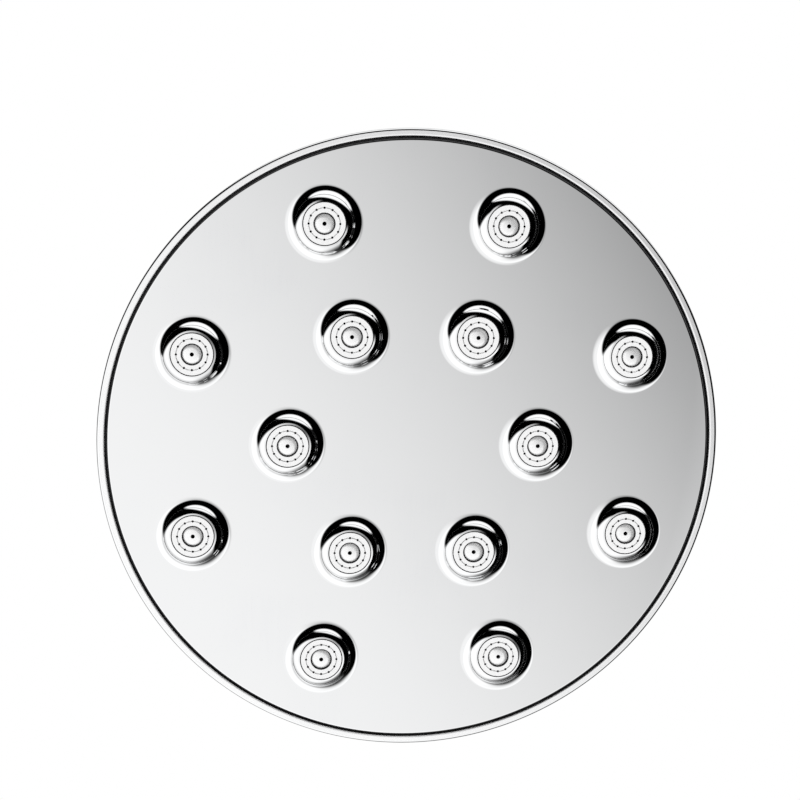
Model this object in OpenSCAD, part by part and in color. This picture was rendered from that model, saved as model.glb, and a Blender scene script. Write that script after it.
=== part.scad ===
// Overhead shower head with a flat face and two circles of spray nozzles.
// Millimetres. The origin is the centre of the inlet's mouth, +Z points out of the mouth
// towards the supply arm, and the water leaves the nozzles along -Z.
// Shapes that are turned are drawn as half sections: x is the radius, y is the height.

/* [Head] */
// Outside diameter of the rim
head_d = 200; // [180:1:240]
// Depth from the flat deck of the back down to the spray face
body_depth = 24; // [22:0.5:32]
// Height of the upright rim wall
rim_h = 10; // [9:0.5:13]
// Width of the rim's lip, seen from below
rim_lip = 2.45; // [1.8:0.05:3]
// Rounding on the outer edge of the lip
lip_outer_round = 0.55; // [0.3:0.05:0.8]
// Width of the chamfer on the inner edge of the lip
lip_chamfer = 0.55; // [0.3:0.05:0.8]
// Slope of that chamfer, in degrees
lip_chamfer_slope = 17; // [10:1:30]
// Rounding where the rim wall meets the back
shoulder_round = 4; // [2:0.5:6]
// Thickness of the shell behind its domed back
shell_wall = 2; // [1.6:0.1:2.6]
// Radius of the raised deck in the middle of the back
deck_r = 25; // [23:0.5:30]
// Height of the step round the deck
deck_step = 0.8; // [0.4:0.1:1.5]

/* [Face plate] */
// Thickness of the face sheet
sheet = 1.2; // [0.8:0.1:1.5]
// Width of the shadow gap between the rim and the face
shadow_gap = 0.65; // [0.5:0.05:1.8]
// Depth of the shadow gap down to its gasket
gap_depth = 1.7; // [1:0.1:2.2]
// Rounding on the edge of the face
face_round = 0.8; // [0.2:0.05:1]
// Height of the turned edge behind the face
skirt_h = 5.4; // [4.6:0.1:6]

/* [Nozzles] */
// Distance from the edge of the face to the axes of the outer nozzles
outer_inset = 21.2; // [19:0.1:24]
// Number of nozzles on the outer circle
outer_count = 8; // [6:1:8]
// Radius of the inner circle of nozzles
inner_circle_r = 40.1; // [38:0.1:42]
// Number of nozzles on the inner circle
inner_count = 6; // [4:1:6]
// How far a nozzle stands out of the face
tip_rise = 2.7; // [2.4:0.1:3.2]
// Radius at which the face starts to curve into a collar
flare_r = 12.4; // [11.4:0.1:13.2]
// Height of a collar at its mouth
collar_h = 1.6; // [1.2:0.05:2.1]
// Radius of a nozzle where it leaves its collar
nozzle_r = 9.1; // [8.8:0.05:9.4]
// Width of the groove between a nozzle and its spray disc
disc_groove = 0.25; // [0.1:0.05:0.4]
// Depth of that groove
disc_groove_depth = 0.4; // [0.2:0.05:0.6]
// Slope at the start of the nozzle's rounded edge, as a share of its mean slope
edge_start_share = 0.55; // [0.2:0.05:0.8]
// Radius of the chamber behind the spray disc
chamber_r = 5.6; // [5.5:0.1:6]
// Radius of the waterway in the stem
stem_bore_r = 4.4; // [3.6:0.1:4.8]
// Radius of a nozzle's stem in the carrier
stem_r = 7.6; // [7.4:0.1:8]
// Length of the stem above the flange
stem_h = 5.6; // [5:0.1:6.2]
// Width of the flange's seat on the flat of the face sheet
flange_seat = 1.2; // [0.8:0.1:1.6]
// Thickness of the flange
flange_h = 1.5; // [1.2:0.1:1.7]

/* [Spray discs] */
// Radius of a spray disc
disc_r = 6.65; // [6.3:0.05:7.2]
// Thickness of a spray disc
disc_h = 1.6; // [1.2:0.1:2]
// Radius of the circle of orifices
orifice_circle_r = 4.9; // [4.7:0.05:5.1]
// Number of orifices in a disc
orifice_count = 12; // [8:1:14]
// Radius of one orifice
orifice_r = 0.36; // [0.25:0.01:0.4]
// Width of the turned line that joins the orifices
line_w = 0.24; // [0.15:0.01:0.4]
// Depth of the turned line
line_depth = 0.2; // [0.1:0.05:0.4]
// Radius of the domed insert in the middle
jet_r = 3.04; // [2.9:0.02:3.3]
// Width of the groove round the insert
jet_groove = 0.34; // [0.2:0.02:0.4]
// Depth of the groove round the insert
jet_groove_depth = 0.8; // [0.5:0.1:1]
// Rise of the insert's dome
jet_dome = 0.42; // [0.2:0.02:0.6]
// Radius of the hole in the insert
jet_hole_r = 0.66; // [0.5:0.02:0.8]
// Thickness of the insert's collar behind the disc
jet_collar_h = 1; // [0.6:0.1:1.4]

/* [Nozzle carrier] */
// Thickness of the carrier's plate
carrier_h = 3.5; // [3:0.1:4]
// Wall of a socket round its nozzle stem
socket_wall = 3.2; // [2.5:0.1:3.6]
// Height of the sockets above the face sheet
socket_top = 7.8; // [7.2:0.1:8.4]
// Thickness of the carrier's ribs
rib_w = 2; // [1.5:0.1:3]
// Cord diameter of a nozzle's O-ring
seal_cord = 1.8; // [1.5:0.1:2]

/* [Screws] */
// Number of shell screws
screw_count = 6; // [3:1:8]
// Radius of the screw thread
screw_r = 1.5; // [1.25:0.05:1.75]
// Radius of the screw head
screw_head_r = 2.75; // [2.5:0.05:3]
// Height of the screw head
screw_head_h = 1.7; // [1.4:0.1:2]
// Length of the screw below its head
screw_len = 12; // [10:0.5:13]
// Radius of the columns that take the screws
column_r = 4.2; // [3.8:0.1:4.6]

/* [Ball joint] */
// Radius of the ball
ball_r = 12; // [11.5:0.1:12.4]
// Radius of the neck between the ball and the socket
neck_r = 6.5; // [6:0.1:7]
// Distance from the socket's lower face to the ball's centre
neck_h = 15; // [15:0.5:20]
// Radius of the waterway through the ball
waterway_r = 4; // [3:0.1:4.5]
// Inside radius of the hub, round the seat ring
hub_bore_r = 15; // [14.6:0.1:15.5]
// Wall of the hub
hub_wall = 2.4; // [2:0.1:3]
// Running clearance in the ball joint
run_gap = 0.08; // [0.04:0.01:0.1]
// Angle below the ball's middle at which the seat ring ends
seat_angle = 52; // [46:1:55]
// Angle above the ball's middle at which the gland ring ends
gland_angle = 33; // [28:1:36]
// Drop from the ball's centre to the deck of the back
deck_drop = 6.5; // [5:0.5:8]
// Thickness of the hub's floor
hub_floor = 3; // [2:0.5:4]
// Thickness of the nut's lip over the gland ring
nut_lip = 3; // [2.5:0.1:3.4]
// Wall of the ball nut outside the hub
nut_wall = 3.6; // [3:0.1:4.5]
// Number of grip flutes round the ball nut
flute_count = 12; // [8:1:16]
// Cord diameter of the O-ring under the seat
seat_cord = 2.4; // [2:0.1:2.6]

/* [Inlet] */
// Radius of the inlet bore, at the crests of the thread
thread_r = 9.3; // [9.2:0.05:9.4]
// Length of the inlet thread
thread_len = 12; // [10:0.5:14]
// Width across the flats of the inlet hexagon
hex_af = 25; // [24:0.5:28]
// Height of the relief that holds the washer
relief_h = 2.8; // [2.6:0.1:3.2]
// Depth of the relief behind the crests of the thread
relief_depth = 1.3; // [1.2:0.1:1.5]
// Radius of the flow regulator
regulator_r = 6.2; // [5.8:0.1:6.4]
// Height of the flow regulator
regulator_h = 4.4; // [4:0.1:5]
// Thickness of the socket's floor
socket_floor = 1.5; // [1.2:0.1:2.5]

/* [Hidden] */
$fn = 96;
NOZZLES = outer_count + inner_count;
function two_digits(i) = i < 10 ? str("0", i) : str(i);
function numbered(stem) = [for (i = [1:NOZZLES]) str(stem, "_", two_digits(i))];

// Finishes, for the preview
chrome = "silver";
rubber = "dimgray";
plastic = "whitesmoke";
steel = "gainsboro";

// Heights of the joint, downwards from the inlet's mouth
relief_z = -thread_len - relief_h;
socket_h = thread_len + relief_h + regulator_h + socket_floor;
ball_z = -socket_h - neck_h;
seat_drop = ball_r * sin(seat_angle);
gland_top = ball_r * sin(gland_angle);
nut_top = gland_top + nut_lip;
hub_floor_z = ball_z - seat_drop - run_gap - seat_cord;
hub_mouth_r = ball_r * cos(seat_angle) + 0.8;
hub_top_z = ball_z + gland_top - 2;
hub_r = hub_bore_r + hub_wall;
deck_z = ball_z - deck_drop;
nut_foot_z = deck_z + 0.4;
nut_r = hub_r + nut_wall;
nut_mouth_r = ball_r * cos(gland_angle) + 0.4;

// Heights of the body, upwards from the spray face
face_z = deck_z - body_depth;
head_r = head_d / 2;
rim_inner_r = head_r - rim_lip;
face_r = rim_inner_r - shadow_gap;
skirt_r = face_r - sheet;
outer_circle_r = face_r - outer_inset;
screw_circle_r = (outer_circle_r + inner_circle_r) / 2;
flange_top = sheet + flange_h;
carrier_z = flange_top;
carrier_top = carrier_z + carrier_h;
socket_r = stem_r + 0.1;

// The back is part of a sphere: it starts at the deck's foot and ends in the rim wall
dome_foot = body_depth - deck_step;
dome_edge = rim_h;
dome_centre = (head_r * head_r - deck_r * deck_r + dome_edge * dome_edge - dome_foot * dome_foot)
    / (2 * (dome_edge - dome_foot));
dome_r = norm([head_r, dome_edge - dome_centre]);
function dome_y(r, inset = 0) = dome_centre + sqrt(pow(dome_r - inset, 2) - r * r);

// Collar and nozzle edge: one curve rises from the face, the other falls from the nozzle's front
collar_gap = 0.1;
collar_r = nozzle_r + collar_gap;
front_r = disc_r + disc_groove;
function radius_of(run, rise) = (run * run + rise * rise) / (2 * rise);
flare_round = radius_of(flare_r - collar_r, collar_h);
edge_run = nozzle_r - front_r;
edge_rise = tip_rise - collar_h;
edge_lean = atan2(edge_rise, edge_run);
edge_start = edge_lean * edge_start_share;
edge_round = norm([edge_run, edge_rise]) / (2 * sin(edge_lean - edge_start));
flange_r = flare_r + flange_seat;

// The insert's collar stays clear of the orifices
orifice_clear = 0.1;

// Points of an arc in the section plane, from angle a to angle b
function arc(centre, r, a, b, steps = 10) =
    [for (i = [0:steps]) centre + r * [cos(a + (b - a) * i / steps), sin(a + (b - a) * i / steps)]];

// Polar angle of a nozzle, and its distance from the axis; the outer circle comes first
function nozzle_angle(i) =
    i < outer_count ? (i + 0.5) * 360 / outer_count : (i - outer_count) * 360 / inner_count;
function nozzle_circle(i) = i < outer_count ? outer_circle_r : inner_circle_r;

// Puts children on one nozzle's axis, with height counted upwards from the spray face
module at_nozzle(i) {
    rotate([0, 0, nozzle_angle(i)])
        translate([nozzle_circle(i), 0, face_z])
            children();
}

// Puts children on the axis of the whole head, with height counted upwards from the spray face
module at_face() {
    translate([0, 0, face_z])
        children();
}

// Puts children on every screw axis, with height counted upwards from the spray face
module at_screws() {
    for (i = [0:screw_count - 1])
        rotate([0, 0, (i + 0.5) * 360 / screw_count])
            translate([screw_circle_r, 0, face_z])
                children();
}

// A ring of round section, such as an O-ring, centred at height 0
module o_ring(ring_r, cord) {
    rotate_extrude()
        translate([ring_r, 0])
            circle(d = cord, $fn = 48);
}

// A tube between two heights
module tube(outer_r, inner_r, low, high) {
    translate([0, 0, low])
        difference() {
            cylinder(h = high - low, r = outer_r);
            translate([0, 0, -1])
                cylinder(h = high - low + 2, r = inner_r);
        }
}

// Screw seats in the back: the screw's head rests below the dome
screw_floor = dome_y(screw_circle_r) - screw_head_h - 1.3;
screw_seal_h = 0.6;
screw_recess_r = screw_head_r + 0.3;
screw_boss_r = screw_head_r + 2.4;
screw_boss_h = 4;
column_top = screw_floor - screw_boss_h;
screw_tip = screw_floor + screw_seal_h - screw_len;

// Section of the dish: lip, rim wall, rounded shoulder, domed back and deck
module shell_section() {
    shoulder = [head_r - shoulder_round,
        dome_centre + sqrt(pow(dome_r - shoulder_round, 2) - pow(head_r - shoulder_round, 2))];
    shoulder_end = asin(shoulder.x / (dome_r - shoulder_round));
    deck_start = asin(deck_r / dome_r);
    inner_end = asin(rim_inner_r / (dome_r - shell_wall));
    inner_start = asin(hub_mouth_r / (dome_r - shell_wall));
    polygon(concat(
        arc([head_r - lip_outer_round, lip_outer_round], lip_outer_round, -90, 0, 8),
        arc(shoulder, shoulder_round, 0, 90 - shoulder_end, 12),
        arc([0, dome_centre], dome_r, 90 - shoulder_end, 90 - deck_start, 16),
        [[deck_r, body_depth - 0.2], [deck_r - 0.2, body_depth], [hub_mouth_r, body_depth]],
        arc([0, dome_centre], dome_r - shell_wall, 90 - inner_start, 90 - inner_end, 16),
        [[rim_inner_r, lip_chamfer * tan(lip_chamfer_slope)], [rim_inner_r + lip_chamfer, 0]]));
}

module back_shell() {
    color(chrome)
        difference() {
            union() {
                at_face()
                    rotate_extrude()
                        shell_section();
                translate([0, 0, hub_floor_z - hub_floor])
                    cylinder(h = hub_top_z - hub_floor_z + hub_floor, r = hub_r);
                intersection() {
                    at_screws()
                        translate([0, 0, column_top])
                            cylinder(h = body_depth - column_top, r = screw_boss_r);
                    translate([0, 0, face_z + dome_centre])
                        sphere(r = dome_r - shell_wall / 2);
                }
            }
            translate([0, 0, hub_floor_z])
                cylinder(h = hub_top_z - hub_floor_z + 1, r = hub_bore_r);
            translate([0, 0, hub_floor_z - hub_floor - 1])
                cylinder(h = hub_floor + 2, r = hub_mouth_r);
            at_screws() {
                translate([0, 0, screw_floor])
                    cylinder(h = 10, r = screw_recess_r);
                translate([0, 0, column_top - 1])
                    cylinder(h = screw_boss_h + 2, r = screw_r + 0.2);
            }
        }
}

// Half section of the sheet's collar round one nozzle
module collar_section() {
    intersection() {
        difference() {
            translate([flare_r, -flare_round])
                circle(r = flare_round + sheet);
            translate([flare_r, -flare_round])
                circle(r = flare_round);
        }
        translate([collar_r, -flare_round])
            square([flare_r - collar_r, flare_round + sheet]);
    }
}

// Half section of the face sheet with its turned edge
module face_section() {
    polygon(concat(
        [[0, sheet], [0, 0]],
        arc([face_r - face_round, face_round], face_round, -90, 0, 8),
        [[face_r, skirt_h], [skirt_r, skirt_h], [skirt_r, sheet]]));
}

module face_plate() {
    color(chrome) {
        difference() {
            at_face()
                rotate_extrude()
                    face_section();
            for (i = [0:NOZZLES - 1])
                at_nozzle(i)
                    translate([0, 0, -1])
                        cylinder(h = sheet + 2, r = flare_r);
        }
        for (i = [0:NOZZLES - 1])
            at_nozzle(i)
                rotate_extrude()
                    collar_section();
    }
}

module rim_gasket() {
    rounding = shadow_gap / 2;
    color(rubber)
        at_face()
            rotate_extrude()
                polygon(concat(
                    arc([face_r + rounding, gap_depth + rounding], rounding, 180, 360),
                    [[rim_inner_r, skirt_h], [face_r, skirt_h]]));
}

// The carrier: a moulded plate in the face's turned edge, with sockets, ribs and screw columns
module nozzle_carrier() {
    edge_r = rim_inner_r - 0.1;
    edge_top = dome_y(rim_inner_r, shell_wall) - 0.6;
    rib_start = hub_mouth_r + 2;
    rib_h = 1.2;
    socket_outer_r = socket_r + socket_wall;
    color(plastic)
        difference() {
            union() {
                at_face() {
                    translate([0, 0, carrier_z])
                        cylinder(h = carrier_h, r = skirt_r);
                    tube(edge_r, skirt_r - 4, skirt_h, edge_top);
                    for (i = [0:screw_count - 1])
                        rotate([0, 0, (i + 0.5) * 360 / screw_count])
                            translate([rib_start, -rib_w / 2, carrier_z])
                                cube([skirt_r - 2 - rib_start, rib_w, carrier_h + rib_h]);
                }
                for (i = [0:NOZZLES - 1])
                    at_nozzle(i)
                        translate([0, 0, carrier_z])
                            cylinder(h = socket_top - carrier_z, r = socket_outer_r);
                at_screws()
                    translate([0, 0, carrier_z])
                        cylinder(h = column_top - carrier_z, r = column_r);
            }
            for (i = [0:NOZZLES - 1])
                at_nozzle(i)
                    translate([0, 0, carrier_z - 1])
                        cylinder(h = socket_top - carrier_z + 2, r = socket_r);
            at_screws()
                translate([0, 0, screw_tip - 0.7])
                    cylinder(h = column_top - screw_tip + 2, r = screw_r);
        }
}

// Height of the O-ring on a nozzle's stem
seal_y = flange_top + stem_h * 0.55;

module nozzle_seals() {
    color(rubber)
        for (i = [0:NOZZLES - 1])
            at_nozzle(i)
                stem_seal();
}

// One stem seal: it lies in the stem's groove and touches the socket
module stem_seal() {
    translate([0, 0, seal_y])
        o_ring(socket_r - seal_cord / 2, seal_cord);
}

// Half section of a nozzle's housing, from the edge of its disc up to the top of its stem
module nozzle_section() {
    front = -tip_rise;
    groove_r = socket_r - seal_cord;
    difference() {
        union() {
            translate([0, front])
                square([front_r, tip_rise]);
            intersection() {
                translate([front_r - edge_round * sin(edge_start), front + edge_round * cos(edge_start)])
                    circle(r = edge_round);
                translate([front_r - 0.5, front])
                    square([edge_run + 0.5, edge_rise]);
            }
            translate([0, -collar_h])
                square([nozzle_r, collar_h + sheet + flange_h / 2]);
            translate([0, sheet])
                square([flange_r, flange_h]);
            translate([0, sheet])
                square([stem_r, flange_h + stem_h]);
        }
        translate([-1, front - 1])
            square([disc_r + 1, disc_h + 1]);
        translate([-1, front - 1])
            square([front_r + 1, disc_groove_depth + 1]);
        translate([-1, front])
            square([chamber_r + 1, tip_rise + sheet]);
        translate([-1, front])
            square([stem_bore_r + 1, tip_rise + flange_top + stem_h + 1]);
        translate([groove_r, seal_y - seal_cord / 2 - 0.1])
            square([seal_cord + 1, seal_cord + 0.2]);
    }
}

module nozzle_body(i) {
    color(chrome)
        at_nozzle(i)
            rotate_extrude()
                nozzle_section();
}

module spray_disc(i) {
    seat_r = jet_r + jet_groove;
    color(chrome)
        at_nozzle(i)
            translate([0, 0, -tip_rise])
                difference() {
                    tube(disc_r, seat_r, 0, disc_h);
                    for (k = [0:orifice_count - 1])
                        rotate([0, 0, k * 360 / orifice_count])
                            translate([orifice_circle_r, 0, -1])
                                cylinder(h = disc_h + 2, r = orifice_r);
                    tube(orifice_circle_r + line_w / 2, orifice_circle_r - line_w / 2, -1, line_depth);
                }
}

// The domed insert: a collar behind the disc, a seat in the disc's hole and the domed front
module jet_section() {
    dome_round = radius_of(jet_r, jet_dome);
    difference() {
        union() {
            intersection() {
                translate([0, dome_round])
                    circle(r = dome_round);
                square([jet_r, disc_h]);
            }
            translate([0, jet_groove_depth])
                square([jet_r + jet_groove, disc_h - jet_groove_depth]);
            translate([0, disc_h])
                square([orifice_circle_r - orifice_r - orifice_clear, jet_collar_h]);
        }
        translate([-1, -1])
            square([jet_hole_r + 1, disc_h + jet_collar_h + 2]);
    }
}

module centre_jet(i) {
    color(chrome)
        at_nozzle(i)
            translate([0, 0, -tip_rise])
                rotate_extrude()
                    jet_section();
}

module screw_seals() {
    color(rubber)
        at_screws()
            tube(screw_head_r, screw_r, screw_floor, screw_floor + screw_seal_h);
}

module shell_screws() {
    head_foot = screw_floor + screw_seal_h;
    color(steel)
        at_screws()
            difference() {
                union() {
                    translate([0, 0, head_foot])
                        cylinder(h = screw_head_h, r = screw_head_r);
                    translate([0, 0, screw_tip])
                        cylinder(h = screw_len + 0.5, r = screw_r);
                }
                translate([0, 0, head_foot + screw_head_h - 1])
                    cylinder(h = 2, r = screw_r * 0.95, $fn = 6);
            }
}

// Half section of the collar nut
module nut_section() {
    lip = 1.4;
    polygon([
        [hub_r, nut_foot_z], [nut_r - 0.6, nut_foot_z], [nut_r, nut_foot_z + 0.6],
        [nut_r, ball_z + nut_top - 3], [nut_r - 0.5, ball_z + nut_top - 2],
        [nut_mouth_r + 3.2, ball_z + nut_top], [nut_mouth_r + lip, ball_z + nut_top],
        [nut_mouth_r, ball_z + nut_top - lip], [nut_mouth_r, ball_z + gland_top],
        [hub_r, ball_z + gland_top]]);
}

module ball_nut() {
    flute_r = 2.2;
    flute_depth = 0.8;
    color(chrome)
        difference() {
            rotate_extrude()
                nut_section();
            for (k = [0:flute_count - 1])
                rotate([0, 0, k * 360 / flute_count])
                    translate([nut_r + flute_r - flute_depth, 0, nut_foot_z - 1])
                        cylinder(h = nut_top - ball_z, r = flute_r);
        }
}

// A ring in the hub's bore with a seat that follows the ball
module seat_ring(low, high, outer_r) {
    difference() {
        translate([0, 0, ball_z + low])
            cylinder(h = high - low, r = outer_r);
        translate([0, 0, ball_z])
            sphere(r = ball_r + run_gap);
    }
}

module gland_ring() {
    color(plastic)
        seat_ring(0.4, gland_top, hub_bore_r);
}

module ball_seat() {
    color(plastic)
        seat_ring(-seat_drop, -0.4, hub_bore_r - run_gap);
}

module seat_o_ring() {
    color(rubber)
        translate([0, 0, hub_floor_z + seat_cord / 2])
            o_ring((hub_mouth_r + hub_bore_r) / 2, seat_cord);
}

module inlet_ball() {
    corner_r = hex_af / 2 / cos(30);
    flat_r = hex_af / 2 - 0.3;
    bevel = (corner_r - flat_r) * tan(30);
    color(chrome)
        difference() {
            union() {
                intersection() {
                    translate([0, 0, -socket_h])
                        cylinder(h = socket_h, r = corner_r, $fn = 6);
                    rotate_extrude()
                        polygon([
                            [0, -socket_h], [flat_r, -socket_h], [corner_r, -socket_h + bevel],
                            [corner_r, -bevel], [flat_r, 0], [0, 0]]);
                }
                translate([0, 0, ball_z])
                    cylinder(h = neck_h + 0.5, r = neck_r);
                translate([0, 0, ball_z])
                    sphere(r = ball_r);
            }
            translate([0, 0, -thread_len])
                cylinder(h = thread_len + 1, r = thread_r);
            translate([0, 0, relief_z])
                cylinder(h = relief_h, r = thread_r + relief_depth);
            translate([0, 0, relief_z - regulator_h])
                cylinder(h = regulator_h + 1, r = regulator_r + 0.1);
            translate([0, 0, ball_z - ball_r - 1])
                cylinder(h = ball_r + neck_h + socket_floor + 2, r = waterway_r);
        }
}

// What lies at the bottom of the socket: strainer, washer and flow regulator.
// The strainer passes through the thread, and the washer snaps in behind it.
screen_h = 0.4;
screen_r = thread_r - 0.2;
washer_h = 2;
washer_r = thread_r + 0.3;
regulator_groove = 2;
regulator_groove_r = regulator_r * 0.62;

module filter_washer() {
    color(rubber)
        tube(washer_r, regulator_r, relief_z + screen_h, relief_z + screen_h + washer_h);
}

// The strainer: a thin disc with rings of small holes
module filter_screen() {
    rings = 4;
    hole_r = 0.45;
    pitch = regulator_r / (rings + 0.4);
    color(steel)
        translate([0, 0, relief_z])
            difference() {
                cylinder(h = screen_h, r = screen_r);
                for (ring = [1:rings])
                    for (k = [1:6 * ring])
                        rotate([0, 0, k * 60 / ring])
                            translate([ring * pitch, 0, -1])
                                cylinder(h = screen_h + 2, r = hole_r);
            }
}

module flow_regulator() {
    port_count = 8;
    port_r = 0.8;
    groove_w = 1.8;
    color(plastic)
        translate([0, 0, relief_z - regulator_h])
            difference() {
                cylinder(h = regulator_h - 0.1, r = regulator_r);
                tube(regulator_groove_r + groove_w / 2, regulator_groove_r - groove_w / 2,
                    regulator_h - regulator_groove, regulator_h + 1);
                for (k = [0:port_count - 1])
                    rotate([0, 0, k * 360 / port_count])
                        translate([waterway_r - port_r - 0.1, 0, -1])
                            cylinder(h = regulator_h, r = port_r);
            }
}

module regulator_o_ring() {
    cord = 1.4;
    color(rubber)
        translate([0, 0, relief_z - regulator_groove + cord / 2])
            o_ring(regulator_groove_r, cord);
}

back_shell();
face_plate();
rim_gasket();
nozzle_carrier();
nozzle_seals();
shell_screws();
screw_seals();
ball_nut();
gland_ring();
ball_seat();
seat_o_ring();
inlet_ball();
filter_washer();
filter_screen();
flow_regulator();
regulator_o_ring();
for (i = [0:NOZZLES - 1]) {
    nozzle_body(i);
    spray_disc(i);
    centre_jet(i);
}
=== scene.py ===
"""Overhead shower head in polished chrome: turned and pressed surfaces, seals and inlet, in a plain studio.

Lengths are metres and angles degrees unless a docstring says otherwise. Heights are counted upwards.
"""
import logging
import math
from dataclasses import dataclass, replace
from enum import Enum

import bpy
import numpy as np
from mathutils import Matrix, Vector
from mathutils.geometry import delaunay_2d_cdt


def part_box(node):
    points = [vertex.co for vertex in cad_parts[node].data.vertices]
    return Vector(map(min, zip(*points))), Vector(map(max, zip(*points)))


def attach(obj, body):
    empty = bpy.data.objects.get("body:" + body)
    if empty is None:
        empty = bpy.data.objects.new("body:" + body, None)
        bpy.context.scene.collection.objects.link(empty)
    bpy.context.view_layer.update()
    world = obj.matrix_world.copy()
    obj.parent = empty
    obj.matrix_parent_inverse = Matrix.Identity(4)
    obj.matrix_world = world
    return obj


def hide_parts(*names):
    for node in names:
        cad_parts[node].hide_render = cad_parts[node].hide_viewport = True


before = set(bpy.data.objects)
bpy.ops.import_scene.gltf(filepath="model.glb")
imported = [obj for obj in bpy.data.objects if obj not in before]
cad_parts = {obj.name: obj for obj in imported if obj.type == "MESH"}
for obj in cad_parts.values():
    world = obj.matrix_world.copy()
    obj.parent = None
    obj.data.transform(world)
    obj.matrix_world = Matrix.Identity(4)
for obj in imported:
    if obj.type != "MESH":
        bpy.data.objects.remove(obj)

log = logging.getLogger("shower_head")
Colour = tuple[float, float, float]
Place = tuple[float, float, float]
Spot = tuple[float, float]
Span = tuple[float, float]
Socket = bpy.types.NodeSocket
MM = 0.001
WELD = 0.0001 * MM
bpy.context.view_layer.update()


class Slot(Enum):
    """The record's material slots; the nozzle pieces list one each, but nothing reads them."""

    BODY = "chrome_body"
    NOZZLE = "chrome_nozzle"
    SATIN = "satin_nozzle"


class Rides(Enum):
    """The bodies that new pieces move with."""

    INLET = "inlet"
    HEAD = "head"


class Coat(Enum):
    """How a stretch of surface is coloured: in the open, as painted shade, or softly buffed; the value is its
    material's place in the piece's slots.
    """

    OPEN = 0
    # Painted shade: near-black where shade falls in grooves and gaps.
    PAINTED_SHADE = 1
    SOFT = 2


# Mesh work: patches of surface with their own normals, joined into closed pieces


@dataclass
class Patch:
    """A stretch of smooth surface: points (n, 3), triangles (m, 3) and normals at their corners (m, 3, 3)."""

    points: np.ndarray
    triangles: np.ndarray
    normals: np.ndarray
    coat: Coat = Coat.OPEN

    def moved(self, offset: Place) -> "Patch":
        """Returns a copy of the patch, shifted by offset."""
        return replace(self, points=self.points + np.asarray(offset))

    def flipped(self) -> "Patch":
        """Returns a copy of the patch that faces the other way."""
        return replace(self, triangles=self.triangles[:, ::-1], normals=-self.normals[:, ::-1])


@dataclass
class Band:
    """One smooth stretch of a half section: points (n, 2) as radius and height, and normals (n, 2).

    The solid lies to the left of the direction of travel, so a normal is the tangent turned by -90 degrees.
    """

    points: np.ndarray
    normals: np.ndarray
    coat: Coat = Coat.OPEN


def coated(coat: Coat, bands: list[Band]) -> list[Band]:
    """Returns copies of the bands with another coat."""
    return [replace(band, coat=coat) for band in bands]


def shade_painted(bands: list[Band]) -> list[Band]:
    """Returns copies of the bands, coloured as painted shade: a near-black colour put where shade falls in
    grooves and gaps.
    """
    return coated(Coat.PAINTED_SHADE, bands)


def line(start: Spot, end: Spot, steps: int = 1) -> Band:
    """A straight stretch of a half section.

    Args:
        start: radius and height of the first point.
        end: radius and height of the last point.
        steps: number of equal parts.

    Returns:
        The band p(t) = start + t (end - start), with the normal (dz, -dr) / length.
    """
    t = np.linspace(0.0, 1.0, steps + 1)[:, None]
    a, b = np.asarray(start, float), np.asarray(end, float)
    run = b - a
    normal = np.array([run[1], -run[0]]) / max(np.hypot(*run), 1e-12)
    return Band(a + t * run, np.repeat(normal[None], steps + 1, axis=0))


def arc(centre: Spot, radius: float, start: float, end: float, steps: int = 8) -> Band:
    """A round stretch of a half section.

    Args:
        centre: radius and height of the arc's centre.
        radius: the arc's radius.
        start: first angle in degrees, from the outward direction.
        end: last angle; a smaller one than start makes the arc hollow.
        steps: number of equal parts.

    Returns:
        The band p(a) = centre + radius (cos a, sin a), with the normal +-(cos a, sin a).
    """
    a = np.radians(np.linspace(start, end, steps + 1))
    ray = np.stack([np.cos(a), np.sin(a)], axis=1)
    return Band(np.asarray(centre) + radius * ray, ray if end > start else -ray)


def path(*corners: Spot) -> list[Band]:
    """Returns one straight band between each corner and the next."""
    return [line(a, b) for a, b in zip(corners[:-1], corners[1:])]


def grid_triangles(rows: int, columns: int) -> np.ndarray:
    """Makes two triangles of every cell in a grid of points.

    Args:
        rows: the number of rows.
        columns: the number of points in a row.

    Returns:
        The triangles (m, 3), turned from column to row.
    """
    index = np.arange(rows * columns).reshape(rows, columns)
    a, b = index[:-1, :-1].ravel(), index[:-1, 1:].ravel()
    c, d = index[1:, 1:].ravel(), index[1:, :-1].ravel()
    return np.concatenate([np.stack([a, b, c], axis=1), np.stack([a, c, d], axis=1)])


def revolve(bands: list[Band], turns: int = 192) -> list[Patch]:
    """Turns a half section about the Z axis.

    Args:
        bands: the stretches of the half section.
        turns: number of steps round the axis.

    Returns:
        One patch per band, P(a, t) = (r(t) cos a, r(t) sin a, z(t)).
    """
    a = np.linspace(0.0, 2.0 * np.pi, turns + 1)
    patches = []
    for band in bands:
        points = _swept(band.points, a)
        normals = _swept(band.normals, a)
        triangles = grid_triangles(len(band.points), turns + 1)
        patches.append(Patch(points, triangles, normals[triangles], band.coat))
    return patches


def _swept(section: np.ndarray, angles: np.ndarray) -> np.ndarray:
    """Carries a half section to every angle.

    Args:
        section: (n, 2) values of radius and height.
        angles: the angles, in radians.

    Returns:
        The (n * angles, 3) values (r cos a, r sin a, z).
    """
    r, z = section[:, :1], section[:, 1:]
    x, y = r * np.cos(angles), r * np.sin(angles)
    return np.stack([x, y, np.broadcast_to(z, x.shape)], axis=-1).reshape(-1, 3)


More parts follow.
